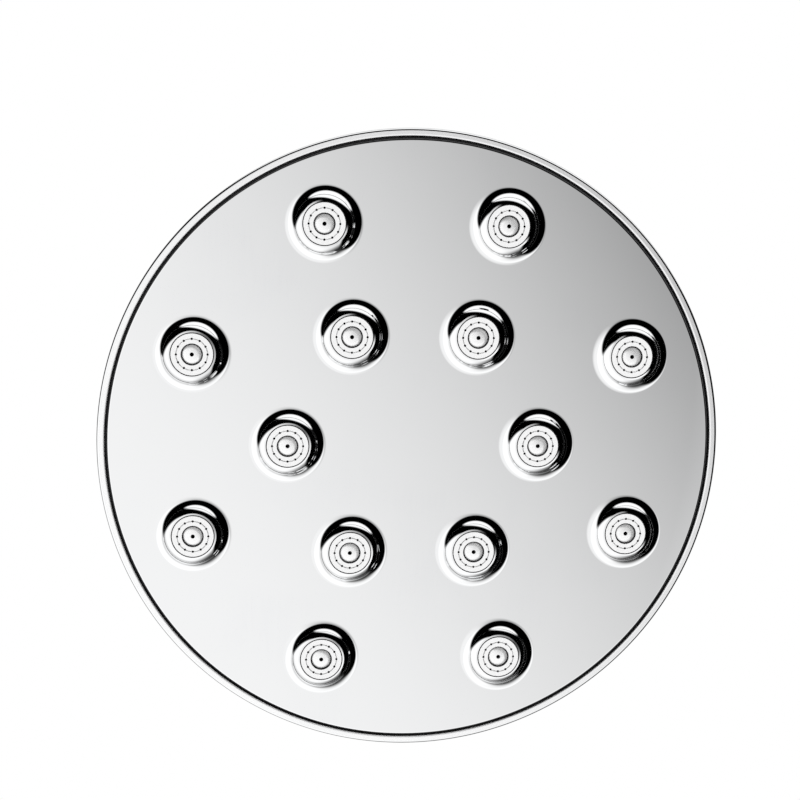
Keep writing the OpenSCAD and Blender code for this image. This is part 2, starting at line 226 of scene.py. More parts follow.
def grid_patch(points: np.ndarray) -> Patch:
    """Makes a patch of a grid of points.

    Args:
        points: (rows, columns, 3) values, with the columns running round the piece.

    Returns:
        The patch, with the normal dP/dcolumn x dP/drow, by central differences.
    """
    rows, columns = points.shape[:2]
    order = 2 if min(rows, columns) > 2 else 1
    along = np.gradient(points, axis=0, edge_order=order)
    across = np.gradient(points, axis=1, edge_order=order)
    normal = np.cross(across, along).reshape(-1, 3)
    normal /= np.maximum(np.linalg.norm(normal, axis=1, keepdims=True), 1e-15)
    triangles = grid_triangles(rows, columns)
    return Patch(points.reshape(-1, 3), triangles, normal[triangles])


def ruled(radius_a: np.ndarray, height_a: np.ndarray, radius_b: np.ndarray, height_b: np.ndarray,
          angles: np.ndarray, steps: int = 1) -> Patch:
    """Joins two rings whose radius and height change with the angle.

    Args:
        radius_a: radius of the first ring at each angle.
        height_a: height of the first ring at each angle.
        radius_b: radius of the second ring at each angle.
        height_b: height of the second ring at each angle.
        angles: the angles, in radians.
        steps: number of parts between the rings.

    Returns:
        The patch P(a, t) = ((1 - t) A(a) + t B(a)).
    """
    t = np.linspace(0.0, 1.0, steps + 1)[:, None]
    r = (1 - t) * radius_a + t * radius_b
    z = (1 - t) * height_a + t * height_b
    return grid_patch(np.stack([r * np.cos(angles), r * np.sin(angles), z], axis=-1))


def circle(centre: Spot, radius: float, count: int) -> np.ndarray:
    """Returns count points (count, 2) on a circle, the first at angle 0."""
    a = np.arange(count) * 2.0 * np.pi / count
    return np.asarray(centre) + radius * np.stack([np.cos(a), np.sin(a)], axis=1)


def inside(points: np.ndarray, centre: Spot, radius: float, count: int) -> np.ndarray:
    """Tells which points lie in the polygon that circle() draws.

    Args:
        points: (n, 2) values.
        centre: the circle's centre.
        radius: the circle's radius.
        count: the polygon's number of corners.

    Returns:
        One truth value per point: its distance is under radius cos(pi/n) / cos(angle to the side's middle).
    """
    offset = points - np.asarray(centre)
    step = 2.0 * np.pi / count
    from_middle = np.mod(np.arctan2(offset[:, 1], offset[:, 0]), step) - step / 2.0
    return np.hypot(offset[:, 0], offset[:, 1]) < radius * np.cos(step / 2.0) / np.cos(from_middle)


def triangulate(rings: list[np.ndarray], loose: np.ndarray | None = None) -> tuple[np.ndarray, np.ndarray]:
    """Triangulates the plane inside a set of closed rings, which may cross each other.

    Args:
        rings: closed rings of points (n, 2).
        loose: further points (n, 2) between the rings.

    Returns:
        The points (n, 2) and the triangles (m, 3), turned anticlockwise.
    """
    coords = [Vector(p) for ring in rings for p in ring.tolist()]
    edges, start = [], 0
    for ring in rings:
        n = len(ring)
        edges += [(start + i, start + (i + 1) % n) for i in range(n)]
        start += n
    if loose is not None:
        coords += [Vector(p) for p in loose.tolist()]
    verts, _, faces, *_ = delaunay_2d_cdt(coords, edges, [], 0, 1e-9, False)
    points = np.array([v[:] for v in verts])
    triangles = np.array([f[:] for f in faces if len(f) == 3])
    a, b, c = (points[triangles[:, k]] for k in range(3))
    turn = (b - a)[:, 0] * (c - a)[:, 1] - (b - a)[:, 1] * (c - a)[:, 0]
    triangles = np.where((turn < 0)[:, None], triangles[:, ::-1], triangles)
    return points, triangles[np.abs(turn) > 1e-16]


def flat(points: np.ndarray, triangles: np.ndarray, height: float, up: bool) -> Patch:
    """Lays triangles of the plane at a height.

    Args:
        points: (n, 2) values.
        triangles: (m, 3) indices, turned anticlockwise.
        height: the height of the patch.
        up: whether the patch faces up.

    Returns:
        The flat patch.
    """
    raised = np.column_stack([points, np.full(len(points), height)])
    normals = np.broadcast_to(np.array([0.0, 0.0, 1.0]), (len(triangles), 3, 3))
    patch = Patch(raised, triangles, normals)
    return patch if up else patch.flipped()


def placed(name: str, data: bpy.types.ID) -> bpy.types.Object:
    """Makes an object of some data and puts it into the scene, at the origin.

    Args:
        name: the object's name.
        data: its mesh, camera or lamp.

    Returns:
        The object.
    """
    made = bpy.data.objects.new(name, data)
    bpy.context.scene.collection.objects.link(made)
    return made


def make_piece(name: str, patches: list[Patch], finish: "Finish", body: Rides,
               stands_for: tuple[str, ...], axis: Spot = (0.0, 0.0)) -> bpy.types.Object:
    """Welds patches into one closed piece and places it on its body.

    Args:
        name: the piece's name.
        patches: its stretches of surface.
        finish: its materials, open and as painted shade in grooves and gaps.
        body: the body that it moves with.
        stands_for: the CAD nodes that it replaces.
        axis: the axis that it was turned about, for the tool marks.

    Returns:
        The new object.
    """
    starts = np.cumsum([0] + [len(p.points) for p in patches[:-1]])
    points = np.concatenate([p.points for p in patches])
    triangles = np.concatenate([p.triangles + s for p, s in zip(patches, starts)])
    normals = np.concatenate([p.normals for p in patches])
    rounded = np.round(points / WELD).astype(np.int64)
    _, first, same = np.unique(rounded, axis=0, return_index=True, return_inverse=True)
    triangles = same.reshape(-1)[triangles]
    a, b, c = triangles.T
    kept = (a != b) & (b != c) & (c != a)
    mesh = bpy.data.meshes.new(name)
    mesh.from_pydata(points[first], [], triangles[kept])
    mesh.shade_smooth()
    mesh.normals_split_custom_set(normals[kept].reshape(-1, 3).tolist())
    for material in finish.coats():
        mesh.materials.append(material)
    coats = np.concatenate([np.full(len(p.triangles), p.coat.value, np.int32) for p in patches])
    mesh.polygons.foreach_set("material_index", coats[kept])
    turned = mesh.attributes.new("turned", "FLOAT", "POINT")
    turned.data.foreach_set("value", np.hypot(*(points[first][:, :2] - axis).T).astype(np.float32))
    piece = placed(name, mesh)
    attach(piece, body.value)
    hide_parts(*stands_for)
    log.info("%s: %d triangles on %s", name, int(kept.sum()), body.value)
    return piece


# Finishes


@dataclass(frozen=True)
class Finish:
    """A piece's materials: in the open, as painted shade in its grooves and gaps and, if it has one, on its
    softly buffed lip.
    """

    open: bpy.types.Material
    painted_shade: bpy.types.Material
    soft: bpy.types.Material | None = None

    def coats(self) -> list[bpy.types.Material]:
        """Returns the materials in the order of the coats' values."""
        return [self.open, self.painted_shade] if self.soft is None else [self.open, self.painted_shade, self.soft]


@dataclass
class NodeTree:
    """A short way to add shader nodes and join them."""

    tree: bpy.types.NodeTree

    def join(self, value: object, socket: Socket) -> None:
        """Joins another node's output to an input, or sets the input to a value.

        Args:
            value: the output, or a plain value.
            socket: the input.
        """
        if isinstance(value, Socket):
            self.tree.links.new(value, socket)
        else:
            socket.default_value = value

    def set(self, node: bpy.types.Node, **values: object) -> bpy.types.Node:
        """Sets a node up.

        Args:
            node: the node.
            **values: properties to set, or inputs where the name is an input's with _ for a space.

        Returns:
            The same node.
        """
        for key, value in values.items():
            socket = node.inputs.get(key.replace("_", " "))
            if socket is None:
                setattr(node, key, value)
            else:
                self.join(value, socket)
        return node

    def add(self, kind: str, **values: object) -> bpy.types.Node:
        """Adds a node of a bl_idname and sets it up."""
        return self.set(self.tree.nodes.new(kind), **values)

    def math(self, operation: str, *operands: object) -> Socket:
        """Adds a Math node.

        Args:
            operation: the node's operation.
            *operands: numbers or sockets.

        Returns:
            The result.
        """
        node = self.add("ShaderNodeMath", operation=operation)
        for socket, value in zip(node.inputs, operands):
            self.join(value, socket)
        return node.outputs[0]

    def times(self, *factors: object) -> Socket:
        """Multiplies numbers or sockets.

        Args:
            *factors: the numbers or sockets.

        Returns:
            The product.
        """
        product = factors[0]
        for factor in factors[1:]:
            product = self.math("MULTIPLY", product, factor)
        return product

    def scaled(self, value: Socket, factor: float, offset: float) -> Socket:
        """Returns factor value + offset."""
        return self.math("MULTIPLY_ADD", value, factor, offset)

    def length(self, x: Socket, y: Socket) -> Socket:
        """Returns sqrt(x^2 + y^2)."""
        return self.math("SQRT", self.math("ADD", self.times(x, x), self.times(y, y)))

    def smooth(self, value: Socket, low: object, high: object, first: float = 0.0,
               last: float = 1.0) -> Socket:
        """Makes a smooth step.

        Args:
            value: the value that is looked at.
            low: where the step starts.
            high: where it ends.
            first: the result below low.
            last: the result above high.

        Returns:
            first + (last - first) t^2 (3 - 2 t), where t goes from 0 at low to 1 at high.
        """
        node = self.add("ShaderNodeMapRange", interpolation_type="SMOOTHSTEP", Value=value, From_Min=low,
                        From_Max=high, To_Min=first, To_Max=last)
        return node.outputs["Result"]

    def noise(self, coords: Socket, scale: float, detail: float, stretch: Place | None = None) -> Socket:
        """Makes noise on the coordinates.

        Args:
            coords: the coordinates.
            scale: features per metre.
            detail: number of finer layers.
            stretch: factors on the three coordinates, less than 1 along the marks.

        Returns:
            The noise, between 0 and 1.
        """
        if stretch is not None:
            coords = self.add("ShaderNodeMapping", Vector=coords, Scale=stretch).outputs[0]
        return self.add("ShaderNodeTexNoise", Vector=coords, Scale=scale, Detail=detail).outputs["Fac"]

    def ramp(self, place: Socket, first: Colour, last: Colour) -> Socket:
        """Makes a colour that goes from one to another.

        Args:
            place: a value between 0 and 1.
            first: the colour at 0.
            last: the colour at 1.

        Returns:
            The colour.
        """
        node = self.add("ShaderNodeValToRGB", Fac=place)
        node.color_ramp.elements[0].color = (*first, 1.0)
        node.color_ramp.elements[1].color = (*last, 1.0)
        return node.outputs["Color"]

    def bump(self, height: Socket, strength: float, distance: float) -> Socket:
        """Returns the normal of a surface whose height goes up by distance."""
        node = self.add("ShaderNodeBump", Height=height, Strength=strength, Distance=distance)
        return node.outputs["Normal"]


def new_material(name: str) -> tuple[bpy.types.Material, NodeTree, bpy.types.Node, Socket]:
    """Makes an empty material.

    Args:
        name: its name.

    Returns:
        The material, its tree, its Principled shader and the Object coordinates.
    """
    material = bpy.data.materials.new(name)
    material.use_nodes = True
    tree = NodeTree(material.node_tree)
    shader = material.node_tree.nodes["Principled BSDF"]
    return material, tree, shader, tree.add("ShaderNodeTexCoord").outputs["Object"]


@dataclass(frozen=True)
class PolishedChrome:
    """Bright chrome plate: nearly a mirror, with faint haze from wiping and fine polishing marks.

    Scales of noise, here and below, are features per metre.
    """

    name: str
    colour: Colour = (0.925, 0.93, 0.935)
    tint: Colour = (0.90, 0.905, 0.915)
    gloss: float = 0.02
    haze: float = 0.05
    metallic: float = 1.0
    cloud_scale: float = 35.0
    clouded: Span = (0.45, 0.75)
    wipe_scale: float = 900.0
    wipe_stretch: Place = (1.0, 0.08, 1.0)

    def material(self) -> bpy.types.Material:
        """Returns the chrome material."""
        made, tree, shader, coords = new_material(self.name)
        clouds = tree.noise(coords, self.cloud_scale, 4.0)
        wiped = tree.noise(coords, self.wipe_scale, 2.0, self.wipe_stretch)
        haze = tree.times(tree.smooth(clouds, *self.clouded), wiped)
        tree.set(shader, Metallic=self.metallic, Base_Color=tree.ramp(haze, self.colour, self.tint),
                 Roughness=tree.scaled(haze, self.haze, self.gloss))
        return made


@dataclass(frozen=True)
class SatinPlate:
    """Satin plate: pale and soft, with fine rings from turning."""

    name: str
    colour: Colour = (0.87, 0.87, 0.87)
    shade: Colour = (0.81, 0.81, 0.815)
    metallic: float = 0.15
    roughness: float = 0.4
    marked: float = 0.10
    ring_turns: float = 62000.0
    ring_height: float = 0.01 * MM
    ring_strength: float = 0.08
    grain_scale: float = 1500.0

    def material(self) -> bpy.types.Material:
        """Returns the satin material, with the rings 1/2 + sin(k r) / 2 of the radius r in "turned"."""
        made, tree, shader, coords = new_material(self.name)
        radius = tree.add("ShaderNodeAttribute", attribute_name="turned").outputs["Fac"]
        rings = tree.scaled(tree.math("SINE", tree.times(radius, self.ring_turns)), 0.5, 0.5)
        marks = tree.times(rings, tree.noise(coords, self.grain_scale, 3.0))
        tree.set(shader, Metallic=self.metallic, Base_Color=tree.ramp(marks, self.colour, self.shade),
                 Roughness=tree.scaled(marks, self.marked, self.roughness),
                 Normal=tree.bump(rings, self.ring_strength, self.ring_height))
        return made


@dataclass(frozen=True)
class PaintedShade:
    """Painted shade for the bottom of grooves, orifices and gaps: a near-black colour with faint lighter
    specks.
    """

    name: str
    # The near-black of the painted shade, with faint lighter specks in it.
    deep: Colour = (0.012, 0.012, 0.013)
    speck: Colour = (0.06, 0.06, 0.062)
    speck_scale: float = 2200.0
    roughness: float = 0.65

    def material(self) -> bpy.types.Material:
        """Returns the painted-shade material."""
        made, tree, shader, coords = new_material(self.name)
        specks = tree.noise(coords, self.speck_scale, 4.0)
        tree.set(shader, Base_Color=tree.ramp(specks, self.deep, self.speck), Roughness=self.roughness)
        return made


@dataclass(frozen=True)
class MouldedPlastic:
    """Moulded engineering plastic with a fine spark-eroded grain and a slight flow pattern."""

    name: str
    light: Colour
    dark: Colour
    roughness: float = 0.42
    grained: float = 0.12
    flow_scale: float = 60.0
    grain_scale: float = 4000.0
    grain_height: float = 0.03 * MM
    grain_strength: float = 0.12

    def material(self) -> bpy.types.Material:
        """Returns the plastic material."""
        made, tree, shader, coords = new_material(self.name)
        flow = tree.noise(coords, self.flow_scale, 3.0)
        grain = tree.noise(coords, self.grain_scale, 2.0)
        tree.set(shader, Base_Color=tree.ramp(flow, self.dark, self.light),
                 Roughness=tree.scaled(grain, self.grained, self.roughness),
                 Normal=tree.bump(grain, self.grain_strength, self.grain_height))
        return made


@dataclass(frozen=True)
class SealRubber:
    """Black seal rubber with a fine talc bloom."""

    name: str
    deep: Colour = (0.012, 0.012, 0.013)
    bloom: Colour = (0.040, 0.040, 0.043)
    roughness: float = 0.45
    bloomed: float = 0.25
    bloom_scale: float = 180.0
    grain_scale: float = 2600.0
    grain_height: float = 0.04 * MM
    grain_strength: float = 0.15

    def material(self) -> bpy.types.Material:
        """Returns the rubber material."""
        made, tree, shader, coords = new_material(self.name)
        bloom = tree.noise(coords, self.bloom_scale, 4.0)
        grain = tree.noise(coords, self.grain_scale, 2.0)
        tree.set(shader, Base_Color=tree.ramp(bloom, self.deep, self.bloom),
                 Roughness=tree.scaled(bloom, self.bloomed, self.roughness),
                 Normal=tree.bump(grain, self.grain_strength, self.grain_height))
        return made


@dataclass(frozen=True)
class TurnedSteel:
    """Stainless steel with the fine marks of turning and rolling."""

    name: str
    light: Colour = (0.62, 0.62, 0.63)
    dark: Colour = (0.46, 0.46, 0.47)
    roughness: float = 0.22
    marked: float = 0.15
    mark_scale: float = 1800.0
    mark_stretch: Place = (1.0, 1.0, 0.1)

    def material(self) -> bpy.types.Material:
        """Returns the steel material."""
        made, tree, shader, coords = new_material(self.name)
        marks = tree.noise(coords, self.mark_scale, 2.0, self.mark_stretch)
        tree.set(shader, Metallic=1.0, Base_Color=tree.ramp(marks, self.dark, self.light),
                 Roughness=tree.scaled(marks, self.marked, self.roughness))
        return made


class Finishes:
    """The finishes of the shower head, made once and shared by its pieces."""

    def __init__(self) -> None:
        """Makes the materials."""
        # Painted shade for grooves, orifices and gaps.
        self.painted_shade = PaintedShade("painted_shade").material()
        self.body = PolishedChrome("polished_chrome").material()
        self.nozzle = PolishedChrome("nozzle_chrome", gloss=0.03, haze=0.06).material()
        self.buffed = PolishedChrome("buffed_lip", (0.96, 0.96, 0.965), metallic=0.72, gloss=0.05).material()
        self.satin = SatinPlate("satin_plate").material()
        self.brushed = SatinPlate("brushed_dome", (0.97, 0.97, 0.97), (0.95, 0.95, 0.955), metallic=0.6,
                                  roughness=0.24).material()
        self.rubber = SealRubber("seal_rubber").material()
        self.white = MouldedPlastic("white_acetal", (0.84, 0.84, 0.82), (0.76, 0.76, 0.74)).material()
        self.green = MouldedPlastic("green_nylon", (0.20, 0.46, 0.33), (0.12, 0.34, 0.23)).material()
        self.steel = TurnedSteel("stainless").material()

    def on(self, material: bpy.types.Material) -> Finish:
        """Returns the finish that has this material in the open."""
        return Finish(material, self.painted_shade)

    def dress(self, nodes: dict[str, bpy.types.Material]) -> None:
        """Gives CAD nodes their material.

        Args:
            nodes: material by node name.
        """
        for name, material in nodes.items():
            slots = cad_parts[name].material_slots
            if not slots:
                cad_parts[name].data.materials.append(material)
            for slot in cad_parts[name].material_slots:
                slot.material = material
            log.info("%s: %s", name, material.name)


def centre_of(node: str) -> Spot:
    """Returns the middle of a CAD node in X and Y."""
    low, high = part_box(node)
    return ((low[0] + high[0]) / 2.0, (low[1] + high[1]) / 2.0)


def radius_of(run: float, rise: float) -> float:
    """Returns the radius of a circle that leaves a line at a tangent and reaches (run, rise)."""
    return (run * run + rise * rise) / (2.0 * rise)


# The spray side


@dataclass
class Nozzle:
    """One spray nozzle: turned housing, spray disc and domed insert, with heights from its front.

    The front lies tip_rise below the face, and the collar's mouth collar_h below it.
    """

    number: int
    tip_rise: float = 2.7 * MM
    collar_h: float = 1.6 * MM
    wall_r: float = 9.1 * MM
    groove_w: float = 0.25 * MM
    groove_depth: float = 0.4 * MM
    lip_w: float = 0.5 * MM
    lip_slope: float = 10.5
    edge_from: float = 22.5
    edge_to: float = 46.0
    chamber_r: float = 5.6 * MM
    bore_r: float = 4.4 * MM
    stem_r: float = 7.6 * MM
    stem_h: float = 5.6 * MM
    flange_r: float = 13.6 * MM
    flange_h: float = 1.5 * MM
    sheet: float = 1.2 * MM
    seal_cord: float = 1.8 * MM
    seal_place: float = 0.55
    socket_gap: float = 0.1 * MM
    disc_r: float = 6.65 * MM
    disc_h: float = 1.6 * MM
    orifice_circle_r: float = 4.9 * MM
    orifice_r: float = 0.36 * MM
    orifice_count: int = 12
    line_w: float = 0.28 * MM
    line_depth: float = 0.3 * MM
    # Width of the painted-shade rings at the disc's outer edge and round its seat.
    rim_shade: float = 0.08 * MM
    jet_r: float = 3.04 * MM
    jet_groove: float = 0.34 * MM
    jet_groove_depth: float = 0.8 * MM
    crown_r: float = 1.8 * MM
    crown_tilt: float = 7.0
    jet_tilt: float = 32.0
    jet_hole_r: float = 0.66 * MM
    jet_collar_h: float = 1.0 * MM
    orifice_clear: float = 0.1 * MM
    housing_steps: int = 160
    disc_steps: int = 144
    orifice_steps: int = 24
    insert_steps: int = 96

    @property
    def suffix(self) -> str:
        """The nozzle's number as the CAD nodes write it."""
        return f"{self.number:02d}"

    @property
    def axis(self) -> Spot:
        """Where the nozzle's axis crosses the face."""
        return centre_of(f"nozzle_body_{self.suffix}")

    @property
    def front(self) -> float:
        """Height of the nozzle's front in the frame, which is its housing's lowest point."""
        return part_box(f"nozzle_body_{self.suffix}")[0][2]

    def housing_section(self) -> list[Band]:
        """Returns the closed half section of the housing: lip, rounded edge, wall, flange, stem and bore."""
        front_r = self.disc_r + self.groove_w
        lip = (front_r + self.lip_w, self.lip_w * math.tan(math.radians(self.lip_slope)))
        first, last = math.radians(self.edge_from), math.radians(self.edge_to)
        edge = (self.wall_r - lip[0]) / (math.sin(last) - math.sin(first))
        centre = (lip[0] - edge * math.sin(first), lip[1] + edge * math.cos(first))
        corner_y = centre[1] - edge * math.cos(last)
        sheet_y = self.tip_rise + self.sheet
        flange_y = sheet_y + self.flange_h
        stem_y = flange_y + self.stem_h
        groove_r = self.stem_r + self.socket_gap - self.seal_cord
        seal_y = flange_y + self.seal_place * self.stem_h
        half = self.seal_cord / 2.0 + self.socket_gap
        return [
            # The groove behind the disc, the wall behind the rounded edge, the flange's underside and the
            # bore are painted shade.
            *shade_painted(path((self.disc_r, self.groove_depth), (front_r, self.groove_depth), (front_r, 0.0))),
            line((front_r, 0.0), lip, 2),
            arc(centre, edge, self.edge_from - 90.0, self.edge_to - 90.0, 20),
            *shade_painted(path((self.wall_r, corner_y), (self.wall_r, sheet_y), (self.flange_r, sheet_y))),
            *path((self.flange_r, sheet_y), (self.flange_r, flange_y), (self.stem_r, flange_y),
                  (self.stem_r, seal_y - half), (groove_r, seal_y - half),
                  (groove_r, seal_y + half), (self.stem_r, seal_y + half), (self.stem_r, stem_y)),
            *shade_painted(path((self.stem_r, stem_y), (self.bore_r, stem_y), (self.bore_r, sheet_y),
                         (self.chamber_r, sheet_y), (self.chamber_r, self.disc_h),
                         (self.disc_r, self.disc_h), (self.disc_r, self.groove_depth))),
        ]

    def insert_section(self) -> list[Band]:
        """Returns the closed half section of the domed insert: a flat crown that bends down to its rim."""
        inner, outer = math.radians(self.crown_tilt), math.radians(self.jet_tilt)
        crown = self.crown_r / math.sin(inner)
        start = -90.0 + math.degrees(math.asin(self.jet_hole_r / crown))
        hole_y = crown - math.sqrt(crown ** 2 - self.jet_hole_r ** 2)
        edge = (self.jet_r - self.crown_r) / (math.sin(outer) - math.sin(inner))
        centre = (self.crown_r - edge * math.sin(inner), crown + (edge - crown) * math.cos(inner))
        rim_y = centre[1] - edge * math.cos(outer)
        seat_r = self.jet_r + self.jet_groove
        back_r = self.orifice_circle_r - self.orifice_r - self.orifice_clear
        back_y = self.disc_h + self.jet_collar_h
        return [
            arc((0.0, crown), crown, start, self.crown_tilt - 90.0, 8),
            arc(centre, edge, self.crown_tilt - 90.0, self.jet_tilt - 90.0, 12),
            # The groove round the insert and the insert's back are painted shade.
            *shade_painted(path((self.jet_r, rim_y), (self.jet_r, self.jet_groove_depth),
                         (seat_r, self.jet_groove_depth), (seat_r, self.disc_h), (back_r, self.disc_h),
                         (back_r, back_y), (self.jet_hole_r, back_y), (self.jet_hole_r, hole_y))),
        ]

    def disc_patches(self) -> list[Patch]:
        """Returns the spray disc: a ring with a turned line and orifices on it.

        The plane is cut by all circles at once. Each cell has a depth: 0 on the face, line_depth in the
        A wall stands on each edge between two depths. Thin rings at the outer edge and round the seat, the
        back and the walls are painted shade.
        """
        around, small = self.disc_steps, self.orifice_steps
        seat_r = self.jet_r + self.jet_groove
        half = self.line_w / 2.0
        holes = circle((0.0, 0.0), self.orifice_circle_r, self.orifice_count)
        bounds = [(self.disc_r, around), (seat_r, around),
                  (self.orifice_circle_r - half, around), (self.orifice_circle_r + half, around),
                  (self.disc_r - self.rim_shade, around), (seat_r + self.rim_shade, around)]
        rings = [circle((0.0, 0.0), r, n) for r, n in bounds]
        rings += [circle(tuple(h), self.orifice_r, small) for h in holes]
        points, triangles = triangulate(rings)
        middle = points[triangles].mean(axis=1)
        in_ring = [inside(middle, (0.0, 0.0), r, n) for r, n in bounds]
        bored = np.any([inside(middle, tuple(h), self.orifice_r, small) for h in holes], axis=0)
        solid = in_ring[0] & ~in_ring[1] & ~bored
        triangles, in_line = triangles[solid], (in_ring[3] & ~in_ring[2])[solid]
        # Thin rings at the disc's outer edge and round its seat are painted shade.
        rim = ~(in_ring[4] & ~in_ring[5])[solid]
        depth = np.where(in_line, self.line_depth, 0.0)
        return [flat(points, triangles[~in_line & ~rim], 0.0, False),
                flat(points, triangles[in_line], self.line_depth, False),
                *(replace(patch, coat=Coat.PAINTED_SHADE) for patch in (
                    flat(points, triangles[rim], 0.0, False), flat(points, triangles, self.disc_h, True),
                    terrace_walls(points, triangles, depth, self.disc_h)))]

    def build(self, chrome: Finish, satin: Finish, brushed: Finish) -> None:
        """Builds the nozzle's three pieces.

        Args:
            chrome: finish of the housing.
            satin: finish of the disc.
            brushed: finish of the domed insert.
        """
        place = (*self.axis, self.front)
        housing = revolve(self.housing_section(), self.housing_steps)
        insert = revolve(self.insert_section(), self.insert_steps)
        pieces = (("housing", housing, "nozzle_body", chrome, Slot.NOZZLE),
                  ("disc", self.disc_patches(), "spray_disc", satin, Slot.SATIN),
                  ("insert", insert, "centre_jet", brushed, Slot.SATIN))
        for name, patches, node, finish, slot in pieces:
            make_piece(f"nozzle_{name}_{self.suffix}", [p.moved(place) for p in patches], finish,
                       Rides.HEAD, (f"{node}_{self.suffix}",), self.axis)


def terrace_walls(points: np.ndarray, triangles: np.ndarray, depth: np.ndarray, through: float) -> Patch:
    """Stands walls on the edges where flat cells of different depth meet, and on the outer edges.

    Args:
        points: (n, 2) values.
        triangles: (m, 3) indices, turned anticlockwise.
        depth: the depth of each triangle.
        through: the depth of the back.

    Returns:
        The walls, each an upright rectangle that faces the deeper side.
    """
    edges = np.concatenate([triangles[:, [0, 1]], triangles[:, [1, 2]], triangles[:, [2, 0]]])
    owner_depth = np.tile(depth, 3)
    key = np.sort(edges, axis=1)
    code = key[:, 0].astype(np.int64) * len(points) + key[:, 1]
    far = np.full(len(edges), through)
    order = np.argsort(code, kind="stable")
    twin = code[order][:-1] == code[order][1:]
    first, second = order[:-1][twin], order[1:][twin]
    far[first], far[second] = owner_depth[second], owner_depth[first]
    wall = far > owner_depth + 1e-9
    a, b = points[edges[wall, 0]], points[edges[wall, 1]]
    low, high = owner_depth[wall], far[wall]
    corners = np.stack([np.column_stack([a, high]), np.column_stack([b, high]),
                        np.column_stack([b, low]), np.column_stack([a, low])], axis=1)
    run = b - a
    out = np.column_stack([run[:, 1], -run[:, 0], np.zeros(len(run))])
    out /= np.hypot(run[:, 0], run[:, 1])[:, None]
    start = np.arange(len(run))[:, None] * 4
    walls = np.concatenate([start + [0, 2, 1], start + [0, 3, 2]])
    normals = np.repeat(np.concatenate([out, out])[:, None, :], 3, axis=1)
    return Patch(corners.reshape(-1, 3), walls, normals)


@dataclass
class SprayFace:
    """The pressed face sheet: flat mirror, drawn collars and turned edge, with heights from the face."""

    nozzles: list[Nozzle]
    face_r: float = 96.9 * MM
    sheet: float = 1.2 * MM
    edge_round: float = 0.8 * MM
    # Angle on the edge's round beyond which it is painted shade.
    painted_shade_from: float = 27.0
    skirt_h: float = 5.4 * MM
    flare_r: float = 12.4 * MM
    collar_slope: float = 45.0
    collar_gap: float = 0.015 * MM
    ring_steps: int = 160
    edge_steps: int = 360

    def collar_section(self) -> list[Band]:
        """Returns the half section of one collar: straight land, hollow front, back and mouth."""
        nozzle = self.nozzles[0]
        mouth_r = nozzle.wall_r + self.collar_gap
        run = self.flare_r - mouth_r
        curve = radius_of(run, nozzle.collar_h)
        back = curve + self.sheet
        centre = (self.flare_r, -curve)
        steep = math.radians(self.collar_slope)
        land = (self.flare_r - curve * math.sin(steep), curve * (math.cos(steep) - 1.0))
        mouth = (mouth_r, land[1] - (land[0] - mouth_r) * math.tan(steep))
        back_end = 90.0 + math.degrees(math.asin(run / back))
        back_y = -curve + math.sqrt(back ** 2 - run ** 2)
        # The collar's mouth wall is painted shade.
        return [line(mouth, land, 3), arc(centre, curve, 90.0 + self.collar_slope, 90.0, 24),
                arc(centre, back, 90.0, back_end, 8), *shade_painted([line((mouth_r, back_y), mouth)])]

    def sheet_with_holes(self, radius: float, height: float, up: bool) -> Patch:
        """Makes the flat of the sheet: a disc with a hole for every collar.

        Args:
            radius: the disc's radius.
            height: its height.
            up: whether it faces up.

        Returns:
            The flat patch.
        """
        rings = [circle((0.0, 0.0), radius, self.edge_steps)]
        rings += [circle(n.axis, self.flare_r, self.ring_steps) for n in self.nozzles]
        points, triangles = triangulate(rings)
        middle = points[triangles].mean(axis=1)
        kept = inside(middle, (0.0, 0.0), radius, self.edge_steps)
        for n in self.nozzles:
            kept &= ~inside(middle, n.axis, self.flare_r, self.ring_steps)
        return flat(points, triangles[kept], height, up)

    def build(self, finish: Finish) -> None:
        """Builds the face sheet.

        Args:
            finish: the body's chrome.
        """
        skirt_r = self.face_r - self.sheet
        flat_r = self.face_r - self.edge_round
        # The outer part of the edge's round and the skirt's outside are painted shade.
        edge = [arc((flat_r, self.edge_round), self.edge_round, -90.0, self.painted_shade_from - 90.0, 12),
                *shade_painted([arc((flat_r, self.edge_round), self.edge_round, self.painted_shade_from - 90.0, 0.0, 8),
                         line((self.face_r, self.edge_round), (self.face_r, self.skirt_h))]),
                *path((self.face_r, self.skirt_h), (skirt_r, self.skirt_h), (skirt_r, self.sheet))]
        patches = [self.sheet_with_holes(flat_r, 0.0, False),
                   self.sheet_with_holes(skirt_r, self.sheet, True),
                   *revolve(edge, self.edge_steps)]
        for n in self.nozzles:
            patches += [p.moved((*n.axis, 0.0)) for p in revolve(self.collar_section(), self.ring_steps)]
        face_z = self.nozzles[0].front + self.nozzles[0].tip_rise
        make_piece("face_sheet", [p.moved((0.0, 0.0, face_z)) for p in patches], finish,
                   Rides.HEAD, ("face_plate",))


# The dish and its screws


